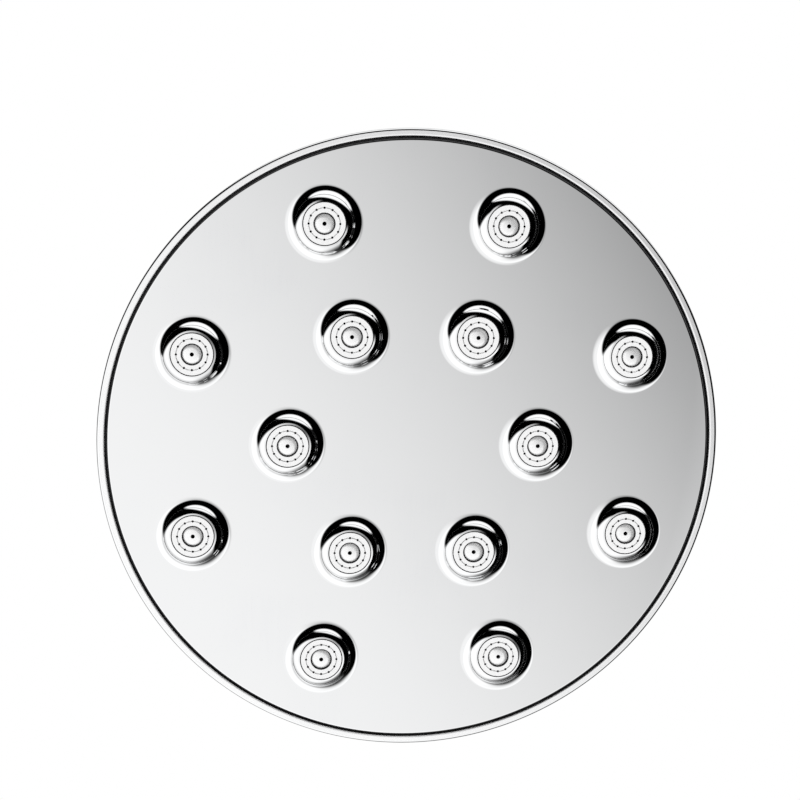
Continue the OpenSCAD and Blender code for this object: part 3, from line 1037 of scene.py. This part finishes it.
@dataclass
class Dish:
    """The cast shell: rolled rim, domed back, deck and hub. Heights are counted from the face."""

    face_z: float
    head_r: float = 100.0 * MM
    depth: float = 24.0 * MM
    rim_h: float = 10.0 * MM
    rim_lip: float = 2.45 * MM
    lip_outer: float = 0.9 * MM
    lip_chamfer: float = 0.55 * MM
    chamfer_slope: float = 6.0
    wall_round: float = 0.35 * MM
    shoulder: float = 4.0 * MM
    wall: float = 2.0 * MM
    deck_r: float = 25.0 * MM
    deck_step: float = 0.8 * MM
    deck_chamfer: float = 0.2 * MM
    hub_bore_r: float = 15.0 * MM
    hub_wall: float = 2.4 * MM
    hub_floor: float = 3.0 * MM
    hub_top: float = 35.0 * MM
    hub_floor_y: float = 18.5 * MM
    mouth_r: float = 8.2 * MM
    recess_r: float = 3.05 * MM
    screw_count: int = 6
    screw_circle_r: float = 57.9 * MM
    screw_head_h: float = 1.7 * MM
    screw_sunk: float = 1.3 * MM
    net_rings: int = 34
    net_margin: float = 2.0 * MM
    net_clear: float = 0.6 * MM
    net_points: float = 2.4 / MM
    fewest_points: int = 72
    recess_steps: int = 64
    turns: int = 360

    @property
    def dome_centre(self) -> float:
        """Height of the centre of the sphere that the back is part of."""
        foot = self.depth - self.deck_step
        squares = self.head_r ** 2 - self.deck_r ** 2 + self.rim_h ** 2 - foot ** 2
        return squares / (2.0 * (self.rim_h - foot))

    @property
    def dome_r(self) -> float:
        """Radius of that sphere."""
        return math.hypot(self.head_r, self.rim_h - self.dome_centre)

    def dome_y(self, radius: np.ndarray | float, inset: float = 0.0) -> np.ndarray | float:
        """Returns the height of the domed back at a radius: centre + sqrt((R - inset)^2 - r^2)."""
        return self.dome_centre + np.sqrt((self.dome_r - inset) ** 2 - np.square(radius))

    def section(self) -> tuple[list[Band], float]:
        """Returns the half section without the outer dome, and the radius where the shoulder meets it."""
        inner = self.head_r - self.rim_lip
        hub_r = self.hub_bore_r + self.hub_wall
        centre_r = self.head_r - self.shoulder
        round_y = self.dome_centre + math.sqrt((self.dome_r - self.shoulder) ** 2 - centre_r ** 2)
        tilt = math.degrees(math.asin(centre_r / (self.dome_r - self.shoulder)))
        inside_r = self.dome_r - self.wall
        inner_from = 90.0 - math.degrees(math.asin(hub_r / inside_r))
        inner_to = 90.0 - math.degrees(math.asin(inner / inside_r))
        foot_y = self.hub_floor_y - self.hub_floor
        chamfer = self.deck_chamfer
        slope, soft_r = math.radians(self.chamfer_slope), self.wall_round
        lip_y = self.lip_chamfer * math.tan(slope)
        soft_y = lip_y + soft_r * (1.0 / math.cos(slope) - math.tan(slope))
        soft_end = (inner + soft_r * (1.0 - math.sin(slope)), soft_y - soft_r * math.cos(slope))
        return [
            *coated(Coat.SOFT, path((inner + self.lip_chamfer, 0.0), (self.head_r - self.lip_outer, 0.0))),
            arc((self.head_r - self.lip_outer, self.lip_outer), self.lip_outer, -90.0, 0.0, 14),
            line((self.head_r, self.lip_outer), (self.head_r, round_y), 2),
            arc((centre_r, round_y), self.shoulder, 0.0, 90.0 - tilt, 24),
            *path((self.deck_r, float(self.dome_y(self.deck_r))), (self.deck_r, self.depth - chamfer),
                  (self.deck_r - chamfer, self.depth), (hub_r, self.depth), (hub_r, self.hub_top),
                  (self.hub_bore_r, self.hub_top), (self.hub_bore_r, self.hub_floor_y),
                  (self.mouth_r, self.hub_floor_y), (self.mouth_r, foot_y), (hub_r, foot_y),
                  (hub_r, float(self.dome_y(hub_r, self.wall)))),
            arc((0.0, self.dome_centre), inside_r, inner_from, inner_to, 24),
            # The rim's inner wall, in the gap round the face, is painted shade.
            *shade_painted(path((inner, float(self.dome_y(inner, self.wall))), (inner, soft_y))),
            *coated(Coat.SOFT, [arc((inner + soft_r, soft_y), soft_r, 180.0, 270.0 - self.chamfer_slope, 8),
                                line(soft_end, (inner + self.lip_chamfer, 0.0))]),
        ], self.dome_r * math.sin(math.radians(tilt))

    def dome(self, outer_r: float) -> list[Patch]:
        """Returns the domed back with its six screw recesses.

        Args:
            outer_r: radius where the dome meets the shoulder.

        Returns:
            The dome z = centre + sqrt(R^2 - x^2 - y^2), the recess walls and their floors.
        """
        small = self.recess_steps
        spots = circle((0.0, 0.0), self.screw_circle_r, self.screw_count)
        turn = math.pi / self.screw_count
        spots = spots @ np.array([[math.cos(turn), math.sin(turn)], [-math.sin(turn), math.cos(turn)]])
        rings = [circle((0.0, 0.0), outer_r, self.turns), circle((0.0, 0.0), self.deck_r, self.turns)]
        rings += [circle(tuple(s), self.recess_r, small) for s in spots]
        net = np.linspace(self.deck_r + self.net_margin, outer_r - self.net_margin, self.net_rings)
        loose = np.concatenate([circle((0.0, 0.0), r, max(self.fewest_points, int(r * self.net_points)))
                                for r in net])
        apart = np.min(np.linalg.norm(loose[:, None] - spots[None], axis=2), axis=1)
        clear = apart > self.recess_r + self.net_clear
        points, triangles = triangulate(rings, loose[clear])
        middle = points[triangles].mean(axis=1)
        kept = inside(middle, (0.0, 0.0), outer_r, self.turns)
        kept &= ~inside(middle, (0.0, 0.0), self.deck_r, self.turns)
        for s in spots:
            kept &= ~inside(middle, tuple(s), self.recess_r, small)
        raised = np.column_stack([points, self.dome_y(np.hypot(points[:, 0], points[:, 1]))])
        normals = (raised - [0.0, 0.0, self.dome_centre]) / self.dome_r
        patches = [Patch(raised, triangles[kept], normals[triangles[kept]])]
        floor = float(self.dome_y(self.screw_circle_r)) - self.screw_head_h - self.screw_sunk
        for s in spots:
            patches += self.recess(s, floor, small)
        return patches

    def recess(self, spot: np.ndarray, floor: float, steps: int) -> list[Patch]:
        """Makes one screw recess.

        Args:
            spot: the screw's axis.
            floor: height of the recess's floor.
            steps: number of parts round it.

        Returns:
            Its round wall, which ends on the dome, and its flat floor.
        """
        a = np.linspace(0.0, 2.0 * np.pi, steps + 1)
        x, y = spot[0] + self.recess_r * np.cos(a), spot[1] + self.recess_r * np.sin(a)
        top = np.stack([x, y, self.dome_y(np.hypot(x, y))], axis=-1)
        bottom = np.stack([x, y, np.full_like(x, floor)], axis=-1)
        wall = grid_patch(np.stack([top, bottom]))
        hub = np.broadcast_to([spot[0], spot[1], floor], bottom.shape)
        return [wall, grid_patch(np.stack([bottom, 0.5 * (bottom + hub), hub]))]

    def build(self, finish: Finish) -> None:
        """Builds the dish.

        Args:
            finish: the body's chrome.
        """
        bands, outer_r = self.section()
        patches = revolve(bands, self.turns) + self.dome(outer_r)
        make_piece("dish", [p.moved((0.0, 0.0, self.face_z)) for p in patches], finish,
                   Rides.HEAD, ("back_shell",))


# The ball joint and the inlet


@dataclass
class BallNut:
    """The collar nut: a ring with grip flutes and a coned top. Heights are counted from the ball's centre."""

    ball_z: float
    hub_r: float = 17.4 * MM
    nut_r: float = 21.0 * MM
    mouth_r: float = 10.46 * MM
    foot: float = -6.1 * MM
    gland_top: float = 6.54 * MM
    top: float = 9.54 * MM
    flute_count: int = 12
    flute_r: float = 2.2 * MM
    flute_depth: float = 0.8 * MM
    foot_chamfer: float = 0.6 * MM
    shoulder_w: float = 0.5 * MM
    shoulder_h: float = 3.0 * MM
    cone_h: float = 2.0 * MM
    rim_w: float = 3.2 * MM
    mouth_cone: float = 1.4 * MM
    flute_steps: int = 14
    land_steps: int = 20

    def wall_radius(self, angles: np.ndarray) -> np.ndarray:
        """Returns the radius of the fluted wall.

        Args:
            angles: the angles, in radians.

        Returns:
            The smaller of the nut's radius and c cos d - sqrt(f^2 - c^2 sin^2 d), where d is the angle from
            the middle of the flute, f the flute's radius and c the distance of its axis.
        """
        pitch = 2.0 * np.pi / self.flute_count
        d = np.mod(angles + pitch / 2.0, pitch) - pitch / 2.0
        c = self.nut_r + self.flute_r - self.flute_depth
        under = np.maximum(self.flute_r ** 2 - (c * np.sin(d)) ** 2, 0.0)
        flute = np.where(np.abs(c * np.sin(d)) < self.flute_r, c * np.cos(d) - np.sqrt(under), np.inf)
        return np.minimum(self.nut_r, flute)

    def flute_half_angle(self) -> float:
        """Returns the angle from a flute's middle to its edge, by the law of cosines."""
        c = self.nut_r + self.flute_r - self.flute_depth
        return math.acos((self.nut_r ** 2 + c ** 2 - self.flute_r ** 2) / (2.0 * self.nut_r * c))

    def segment(self, angles: np.ndarray) -> list[Patch]:
        """Makes the nut's surface over a range of angles.

        Args:
            angles: the angles, in radians.

        Returns:
            Ruled patches between its rings: foot, chamfer, wall, two cones, rim, mouth and bore.
        """
        wall = self.wall_radius(angles)
        same = np.ones_like(angles)
        foot_r = np.minimum(wall, self.nut_r - self.foot_chamfer)
        cone_from = self.nut_r - self.shoulder_w
        cone_r = np.minimum(wall, cone_from)
        rim_r = self.mouth_r + self.rim_w
        slope = self.cone_h / (cone_from - rim_r)
        foot_y = self.foot + (wall - foot_r)
        cone_y = self.top - self.cone_h + (cone_from - cone_r) * slope
        wall_y = np.where(wall > cone_r, self.top - self.shoulder_h + 2.0 * (self.nut_r - wall), cone_y)
        lip = self.mouth_cone
        rings = [(self.hub_r * same, self.foot * same, 1), (foot_r, self.foot * same, 1),
                 (wall, foot_y, 1), (wall, wall_y, 6), (cone_r, cone_y, 1),
                 (rim_r * same, self.top * same, 3),
                 ((self.mouth_r + lip) * same, self.top * same, 1),
                 (self.mouth_r * same, (self.top - lip) * same, 2),
                 (self.mouth_r * same, self.gland_top * same, 1),
                 (self.hub_r * same, self.gland_top * same, 1), (self.hub_r * same, self.foot * same, 1)]
        return [ruled(a[0], a[1], b[0], b[1], angles, b[2]) for a, b in zip(rings[:-1], rings[1:])]

    def build(self, finish: Finish) -> None:
        """Builds the nut.

        Args:
            finish: the body's chrome.
        """
        pitch = 2.0 * np.pi / self.flute_count
        half = self.flute_half_angle()
        patches = []
        for k in range(self.flute_count):
            flute = np.linspace(k * pitch - half, k * pitch + half, self.flute_steps + 1)
            land = np.linspace(k * pitch + half, (k + 1) * pitch - half, self.land_steps + 1)
            patches += self.segment(flute) + self.segment(land)
        make_piece("collar_nut", [p.moved((0.0, 0.0, self.ball_z)) for p in patches], finish,
                   Rides.HEAD, ("ball_nut",))


@dataclass
class Inlet:
    """The inlet: hexagon socket with its pipe thread, neck and ball. Heights are counted from the mouth."""

    thread_r: float = 9.3 * MM
    thread_len: float = 12.0 * MM
    thread_pitch: float = 1.814 * MM
    thread_depth: float = 1.16 * MM
    thread_sharpness: float = 0.97
    turn_steps: int = 144
    pitch_steps: int = 15
    clearance: float = 0.1 * MM
    flats: float = 25.0 * MM
    relief_h: float = 2.8 * MM
    relief_more: float = 1.3 * MM
    regulator_r: float = 6.2 * MM
    regulator_h: float = 4.4 * MM
    floor: float = 1.5 * MM
    waterway_r: float = 4.0 * MM
    neck_r: float = 6.5 * MM
    neck_h: float = 15.0 * MM
    ball_r: float = 12.0 * MM
    fillet: float = 1.2 * MM
    bevel: float = 0.3 * MM
    bevel_slope: float = 30.0

    @property
    def socket_h(self) -> float:
        """Height of the hexagon socket."""
        return self.thread_len + self.relief_h + self.regulator_h + self.floor

    @property
    def ball_z(self) -> float:
        """Height of the ball's centre."""
        return -self.socket_h - self.neck_h

    @property
    def bevel_r(self) -> float:
        """Radius from which the hexagon's ends are bevelled."""
        return self.flats / 2.0 - self.bevel

    @property
    def mouth_r(self) -> float:
        """Radius of the countersunk mouth."""
        return self.thread_r + self.thread_depth + self.clearance

    def hexagon(self) -> list[Patch]:
        """Returns the hexagon's outside: each side is flats / 2 / cos(angle from its middle), with bevels."""
        lean = math.tan(math.radians(self.bevel_slope))
        patches = []
        for k in range(6):
            a = np.radians(60.0 * k + np.linspace(0.0, 60.0, 31))
            side = self.flats / 2.0 / np.cos(a - math.radians(60.0 * k + 30.0))
            turned = np.full_like(a, self.bevel_r)
            bevel = (side - self.bevel_r) * lean
            low, high = np.full_like(a, -self.socket_h), np.zeros_like(a)
            patches += [ruled(turned, low, side, low + bevel, a, 2),
                        ruled(side, low + bevel, side, high - bevel, a, 4),
                        ruled(side, high - bevel, turned, high, a, 2)]
        return patches

    def thread(self) -> list[Patch]:
        """Returns the inlet's thread.

        The wall's radius is r(a, z) = crest + depth w(z / pitch - a / 2 pi), where w is a triangle wave with
        rounded tips, w(t) = 1/2 + asin(k sin 2 pi t) / (2 asin k). At the mouth a cone cuts the first turn.
        """
        a = np.linspace(0.0, 2.0 * np.pi, self.turn_steps + 1)
        steps = self.pitch_steps * int(self.thread_len / self.thread_pitch)
        depth = np.linspace(0.0, self.thread_len, steps + 1)[:, None]
        sharp = self.thread_sharpness
        phase = depth / self.thread_pitch - a / (2.0 * np.pi)
        wave = 0.5 + np.arcsin(sharp * np.sin(2.0 * np.pi * phase)) / (2.0 * math.asin(sharp))
        r = np.maximum(self.thread_r + self.thread_depth * wave, self.mouth_r - depth)
        r[-1] = self.thread_r + self.relief_more
        z = np.broadcast_to(-depth, r.shape)
        return [grid_patch(np.stack([r * np.cos(a), r * np.sin(a), z], axis=-1))]

    def turned_section(self) -> list[Band]:
        """Returns the half section of what is turned: the mouth's ring, the bores, ball, neck and foot."""
        relief_r = self.thread_r + self.relief_more
        relief_z = -self.thread_len - self.relief_h
        seat_z = relief_z - self.regulator_h
        seat_r = self.regulator_r + self.clearance
        fillet = self.fillet
        ball_foot = -math.degrees(math.acos(self.waterway_r / self.ball_r))
        ball_foot_z = self.ball_z - math.sqrt(self.ball_r ** 2 - self.waterway_r ** 2)
        join = math.degrees(math.acos((self.neck_r + fillet) / (self.ball_r + fillet)))
        join_z = self.ball_z + (self.ball_r + fillet) * math.sin(math.radians(join))
        return [
            line((self.bevel_r, 0.0), (self.mouth_r, 0.0)),
            *path((relief_r, -self.thread_len), (relief_r, relief_z), (seat_r, relief_z),
                  (seat_r, seat_z), (self.waterway_r, seat_z), (self.waterway_r, ball_foot_z)),
            arc((0.0, self.ball_z), self.ball_r, ball_foot, join, 64),
            arc((self.neck_r + fillet, join_z), fillet, 180.0 + join, 180.0, 10),
            line((self.neck_r, join_z), (self.neck_r, -self.socket_h - fillet), 2),
            arc((self.neck_r + fillet, -self.socket_h - fillet), fillet, 180.0, 90.0, 10),
            line((self.neck_r + fillet, -self.socket_h), (self.bevel_r, -self.socket_h)),
        ]

    def build(self, finish: Finish) -> None:
        """Builds the inlet in the body's chrome."""
        patches = self.hexagon() + self.thread() + revolve(self.turned_section(), 180)
        make_piece("inlet_with_ball", patches, finish, Rides.INLET, ("inlet_ball",))


# The studio


@dataclass
class Camera:
    """The photograph's camera, found from the places of the nozzles, and counted from the face's middle.

    The photograph's right is +X and its top is -Y. tilt, swing and roll turn the view about the photograph's
    right, down and depth directions, in radians.
    """

    lens: float = 61.281
    sensor: float = 36.0
    position: Place = (-44.942 * MM, -71.936 * MM, -428.793 * MM)
    tilt: float = 0.1336
    swing: float = -0.0926
    roll: float = 0.0088
    clip: Span = (0.01, 50.0)

    def build(self, face_z: float) -> None:
        """Makes the camera and sets it.

        Args:
            face_z: height of the spray face.
        """
        data = bpy.data.cameras.new("photo_camera")
        data.lens, data.sensor_width, data.sensor_fit = self.lens, self.sensor, "HORIZONTAL"
        data.clip_start, data.clip_end = self.clip
        turn = Vector((self.tilt, self.swing, 0.0))
        view = Matrix.Rotation(turn.length, 3, turn.normalized()) @ Matrix.Rotation(self.roll, 3, "Z")
        right, down, depth = view[0], view[1], view[2]
        axes = Matrix((right, -down, -depth)).transposed().to_4x4()
        x, y, z = self.position
        camera = placed("photo_camera", data)
        camera.matrix_world = Matrix.Translation((x, y, z + face_z)) @ axes
        bpy.context.scene.camera = camera
        log.info("camera at %s", tuple(round(v, 4) for v in camera.location))


@dataclass
class Directions:
    """The directions round the part, laid out on a map as seen from below.

    A place on the map is the direction's angle from straight down times the unit vector of its bearing.
    Bearings turn anticlockwise from the photograph's right. x, up and down are the direction's own parts
    along the photograph's right and top and straight down.
    """

    tree: NodeTree
    x: Socket
    up: Socket
    down: Socket
    angle: Socket
    right: Socket
    high: Socket

    @classmethod
    def of(cls, tree: NodeTree, direction: Socket) -> "Directions":
        """Lays out a direction.

        Args:
            tree: the nodes.
            direction: the direction, as a unit vector.

        Returns:
            Its place on the map.
        """
        x, y, z = tree.add("ShaderNodeSeparateXYZ", Vector=direction).outputs
        up, down = tree.times(y, -1.0), tree.times(z, -1.0)
        angle = tree.math("DEGREES", tree.math("ARCCOSINE", down))
        stretch = tree.math("DIVIDE", angle, tree.math("MAXIMUM", tree.length(x, up), 1e-4))
        return cls(tree, x, up, down, angle, tree.times(stretch, x), tree.times(stretch, up))

    def mixed(self, across: Socket, upwards: Socket, bearing: float) -> Socket:
        """Tells how far two parts reach towards a bearing.

        Args:
            across: the part along the photograph's right.
            upwards: the part along its top.
            bearing: the bearing b.

        Returns:
            across cos b + upwards sin b.
        """
        turn = math.radians(bearing)
        rise = self.tree.math("MULTIPLY", upwards, math.sin(turn))
        return self.tree.math("MULTIPLY_ADD", across, math.cos(turn), rise)

    def along(self, bearing: float) -> Socket:
        """Returns how far a place on the map lies towards a bearing."""
        return self.mixed(self.right, self.high, bearing)

    def beside(self, bearing: float) -> Socket:
        """Returns how far a direction goes towards a bearing on its way down by 1."""
        return self.tree.math("DIVIDE", self.mixed(self.x, self.up, bearing),
                              self.tree.math("MAXIMUM", self.down, 0.05))


@dataclass
class Room:
    """What polished metal mirrors: a white room with a black screen to one side, and a long window over it.

    Straight down the white fades to grey towards the photograph's upper right (glow), with pale haze round
    it. The room dims a little on the screen's side (dusk) and strongly at the photograph's lower right
    (evening), where some stray light comes in. Its front ends beside the part, and the back wall is white
    again. In the names, turn is a bearing, across a stretch along it, and out and fade are stretches of the
    angle from straight down.
    """

    glow_top: float = 0.973
    glow_fall: float = 0.605
    glow_turn: float = 33.5
    glow_from: float = -0.25
    glow_width: float = 0.48
    glow_power: float = 1.9
    haze_out: Span = (8.0, 33.0)
    haze_light: float = 1.10
    screen_turn: float = 17.0
    screen_out: float = 25.0
    top_turn: float = 139.0
    top_out: float = 57.5
    corner: float = 107.0
    screen_soft: float = 0.6
    screen_softer: float = 0.08
    dusk_across: Span = (-27.0, 19.0)
    dusk_out: Span = (30.0, 75.0)
    dusk_dims: float = 0.53
    evening_turn: float = 306.0
    evening_across: Span = (50.0, 88.0)
    evening_dims: float = 0.88
    stray_turn: float = 330.0
    stray_across: Span = (30.0, 80.0)
    stray_out: Span = (82.0, 100.0)
    stray_light: float = 0.06
    front_fade: Span = (68.0, 122.0)
    window_left: Span = (-0.32, 65.0)
    window_right: Span = (-0.30, 61.0)
    window_soft: float = 5.0
    window_light: float = 1.08
    window_fade: Span = (108.0, 128.0)
    back_out: Span = (116.0, 152.0)
    back_light: Span = (0.10, 0.92)
    back_fade: Span = (90.0, 120.0)

    def brightness(self, tree: NodeTree, direction: Socket) -> Socket:
        """Works out the brightness that metal mirrors from a direction.

        Args:
            tree: the world's nodes.
            direction: the direction, as a unit vector.

        Returns:
            The brightness.
        """
        to = Directions.of(tree, direction)
        dusk = tree.times(tree.smooth(to.along(self.screen_turn), *self.dusk_across),
                          tree.smooth(to.angle, *self.dusk_out))
        evening = tree.smooth(to.along(self.evening_turn), *self.evening_across)
        dimmed = tree.times(tree.scaled(dusk, -self.dusk_dims, 1.0),
                            tree.scaled(evening, -self.evening_dims, 1.0))
        stray = tree.times(tree.smooth(to.angle, *self.stray_out, 0.0, self.stray_light),
                           tree.smooth(to.along(self.stray_turn), *self.stray_across))
        room = tree.math("ADD", stray, tree.times(dimmed, tree.times(self.glow(to), self.screen(to))))
        front = tree.times(room, tree.smooth(to.angle, *self.front_fade, 1.0, 0.0))
        back = tree.times(tree.smooth(to.angle, *self.back_out, *self.back_light),
                          tree.smooth(to.angle, *self.back_fade))
        window = tree.times(self.window(to), tree.smooth(to.angle, *self.window_fade, 1.0, 0.0))
        return tree.math("MAXIMUM", tree.math("ADD", front, back), window)

    def glow(self, to: Directions) -> Socket:
        """Works out the room's white, which turns grey towards a bearing.

        Args:
            to: the direction.

        Returns:
            The brightness, the greater of top - fall c^power and the haze, where c grows from 0 to 1.
        """
        tree = to.tree
        near = tree.math("ADD", to.beside(self.glow_turn), -self.glow_from)
        share = tree.add("ShaderNodeClamp", Value=tree.math("DIVIDE", near, self.glow_width)).outputs[0]
        white = tree.scaled(tree.math("POWER", share, self.glow_power), -self.glow_fall, self.glow_top)
        return tree.math("MAXIMUM", white, tree.smooth(to.angle, *self.haze_out, 0.0, self.haze_light))

    def screen(self, to: Directions) -> Socket:
        """Works out how much light the black screen lets through.

        The white room's outline on the map is a corner of two straight sides with a large round. The distance
        from it is hypot(max(a, 0), max(b, 0)) - corner, where a and b are counted outwards from the round's
        centre. The outline is softer further from straight down.

        Args:
            to: the direction.

        Returns:
            The share of light, from 0 to 1.
        """
        tree = to.tree
        past = [tree.math("MAXIMUM", tree.math("ADD", to.along(turn), self.corner - out), 0.0)
                for turn, out in ((self.screen_turn, self.screen_out), (self.top_turn, self.top_out))]
        beyond = tree.math("SUBTRACT", tree.length(*past), self.corner)
        soft = tree.scaled(to.angle, self.screen_softer, self.screen_soft)
        return tree.smooth(beyond, tree.times(soft, -1.0), soft, 1.0, 0.0)

    def window(self, to: Directions) -> Socket:
        """Works out the light of the window.

        Args:
            to: the direction.

        Returns:
            The brightness above the higher of two lines on the map, high = a right + b.
        """
        tree = to.tree
        sill = tree.math("MAXIMUM", tree.scaled(to.right, *self.window_left),
                         tree.scaled(to.right, *self.window_right))
        past = tree.math("SUBTRACT", to.high, sill)
        return tree.smooth(past, -self.window_soft, self.window_soft, 0.0, self.window_light)


@dataclass
class Lamp:
    """A large soft lamp that lights the part from the side, and which metal doesn't mirror."""

    name: str
    place: Place
    power: float
    size: float = 1.4
    aim: Place = (0.0, 0.0, -0.05)

    def build(self) -> None:
        """Makes the lamp."""
        data = bpy.data.lights.new(self.name, "AREA")
        data.shape, data.size, data.energy = "DISK", self.size, self.power
        lamp = placed(self.name, data)
        lamp.location = self.place
        aim = Vector(self.aim) - Vector(self.place)
        lamp.rotation_euler = aim.to_track_quat("-Z", "Y").to_euler()
        lamp.visible_glossy = False


@dataclass
class Studio:
    """The room, as a world, over a pale floor, with two lamps."""

    plain: float = 0.95
    floor_z: float = -2.1
    floor_size: float = 9.0
    floor_fade: Span = (0.8, 3.6)
    floor_colour: Colour = (0.86, 0.86, 0.86)
    floor_tint: Colour = (0.90, 0.90, 0.90)
    floor_roughness: float = 0.9

    def build_world(self) -> None:
        """Makes the world: white to the camera, the room to metal, and a plain level to everything else."""
        world = bpy.data.worlds.new("studio")
        world.use_nodes = True
        bpy.context.scene.world = world
        tree = NodeTree(world.node_tree)
        direction = tree.add("ShaderNodeTexCoord").outputs["Generated"]
        ray = tree.add("ShaderNodeLightPath").outputs
        mirrored = tree.math("MAXIMUM", ray["Is Glossy Ray"], ray["Is Transmission Ray"])
        seen = Room().brightness(tree, direction)
        plain = tree.times(tree.math("SUBTRACT", 1.0, mirrored), self.plain)
        light = tree.math("ADD", plain, tree.times(mirrored, seen))
        camera = ray["Is Camera Ray"]
        level = tree.math("ADD", camera, tree.times(tree.math("SUBTRACT", 1.0, camera), light))
        tree.set(world.node_tree.nodes["Background"], Color=(1.0, 1.0, 1.0, 1.0), Strength=level)

    def build_floor(self) -> None:
        """Makes the pale floor below the camera, which turns into the background's white at its edges."""
        half = self.floor_size / 2.0
        mesh = bpy.data.meshes.new("floor")
        corners = [(x * half, y * half, self.floor_z) for x, y in ((-1, -1), (1, -1), (1, 1), (-1, 1))]
        mesh.from_pydata(corners, [], [(0, 1, 2, 3)])
        floor = placed("floor", mesh)
        made, tree, shader, coords = new_material("pale_floor")
        clouds = tree.noise(coords, 3.0, 2.0)
        tree.set(shader, Base_Color=tree.ramp(clouds, self.floor_colour, self.floor_tint),
                 Roughness=self.floor_roughness)
        x, y, _ = tree.add("ShaderNodeSeparateXYZ", Vector=coords).outputs
        seen = tree.add("ShaderNodeLightPath").outputs["Is Camera Ray"]
        fade = tree.times(tree.smooth(tree.length(x, y), *self.floor_fade), seen)
        white = tree.add("ShaderNodeEmission", Strength=1.0)
        mixed = tree.add("ShaderNodeMixShader", Fac=fade)
        tree.join(shader.outputs["BSDF"], mixed.inputs[1])
        tree.join(white.outputs["Emission"], mixed.inputs[2])
        tree.join(mixed.outputs["Shader"], made.node_tree.nodes["Material Output"].inputs["Surface"])
        mesh.materials.append(made)
        floor.visible_glossy = False

    def build(self) -> None:
        """Builds the whole studio."""
        bpy.context.scene.view_settings.view_transform = "Standard"
        self.build_world()
        self.build_floor()
        for lamp in (Lamp("key_lamp", (-1.2, 1.0, 1.3), 22.0), Lamp("fill_lamp", (1.0, -0.6, -1.2), 10.0)):
            lamp.build()
        log.info("studio built")


@dataclass
class ShowerHead:
    """The whole shower head, built in order from its spray side to its inlet."""

    nozzle_count: int = 14

    def build(self) -> None:
        """Builds and dresses every piece."""
        finishes = Finishes()
        nozzles = [Nozzle(number) for number in range(1, self.nozzle_count + 1)]
        face_z = nozzles[0].front + nozzles[0].tip_rise
        Camera().build(face_z)
        polished = finishes.on(finishes.body)
        parts = [finishes.on(m) for m in (finishes.nozzle, finishes.satin, finishes.brushed)]
        SprayFace(nozzles).build(polished)
        for nozzle in nozzles:
            nozzle.build(*parts)
        Dish(face_z).build(replace(polished, soft=finishes.buffed))
        inlet = Inlet()
        BallNut(inlet.ball_z).build(polished)
        inlet.build(polished)
        finishes.dress({
            "rim_gasket": finishes.rubber, "nozzle_carrier": finishes.white, "nozzle_seals": finishes.rubber,
            "shell_screws": finishes.steel, "screw_seals": finishes.rubber, "gland_ring": finishes.white,
            "ball_seat": finishes.white, "seat_o_ring": finishes.rubber, "filter_washer": finishes.rubber,
            "filter_screen": finishes.steel, "flow_regulator": finishes.green,
            "regulator_o_ring": finishes.rubber,
        })


def main() -> None:
    """Builds the shower head and its studio."""
    logging.basicConfig(level=logging.INFO, format="%(name)s %(message)s")
    ShowerHead().build()
    Studio().build()


if __name__ == "__main__":
    main()
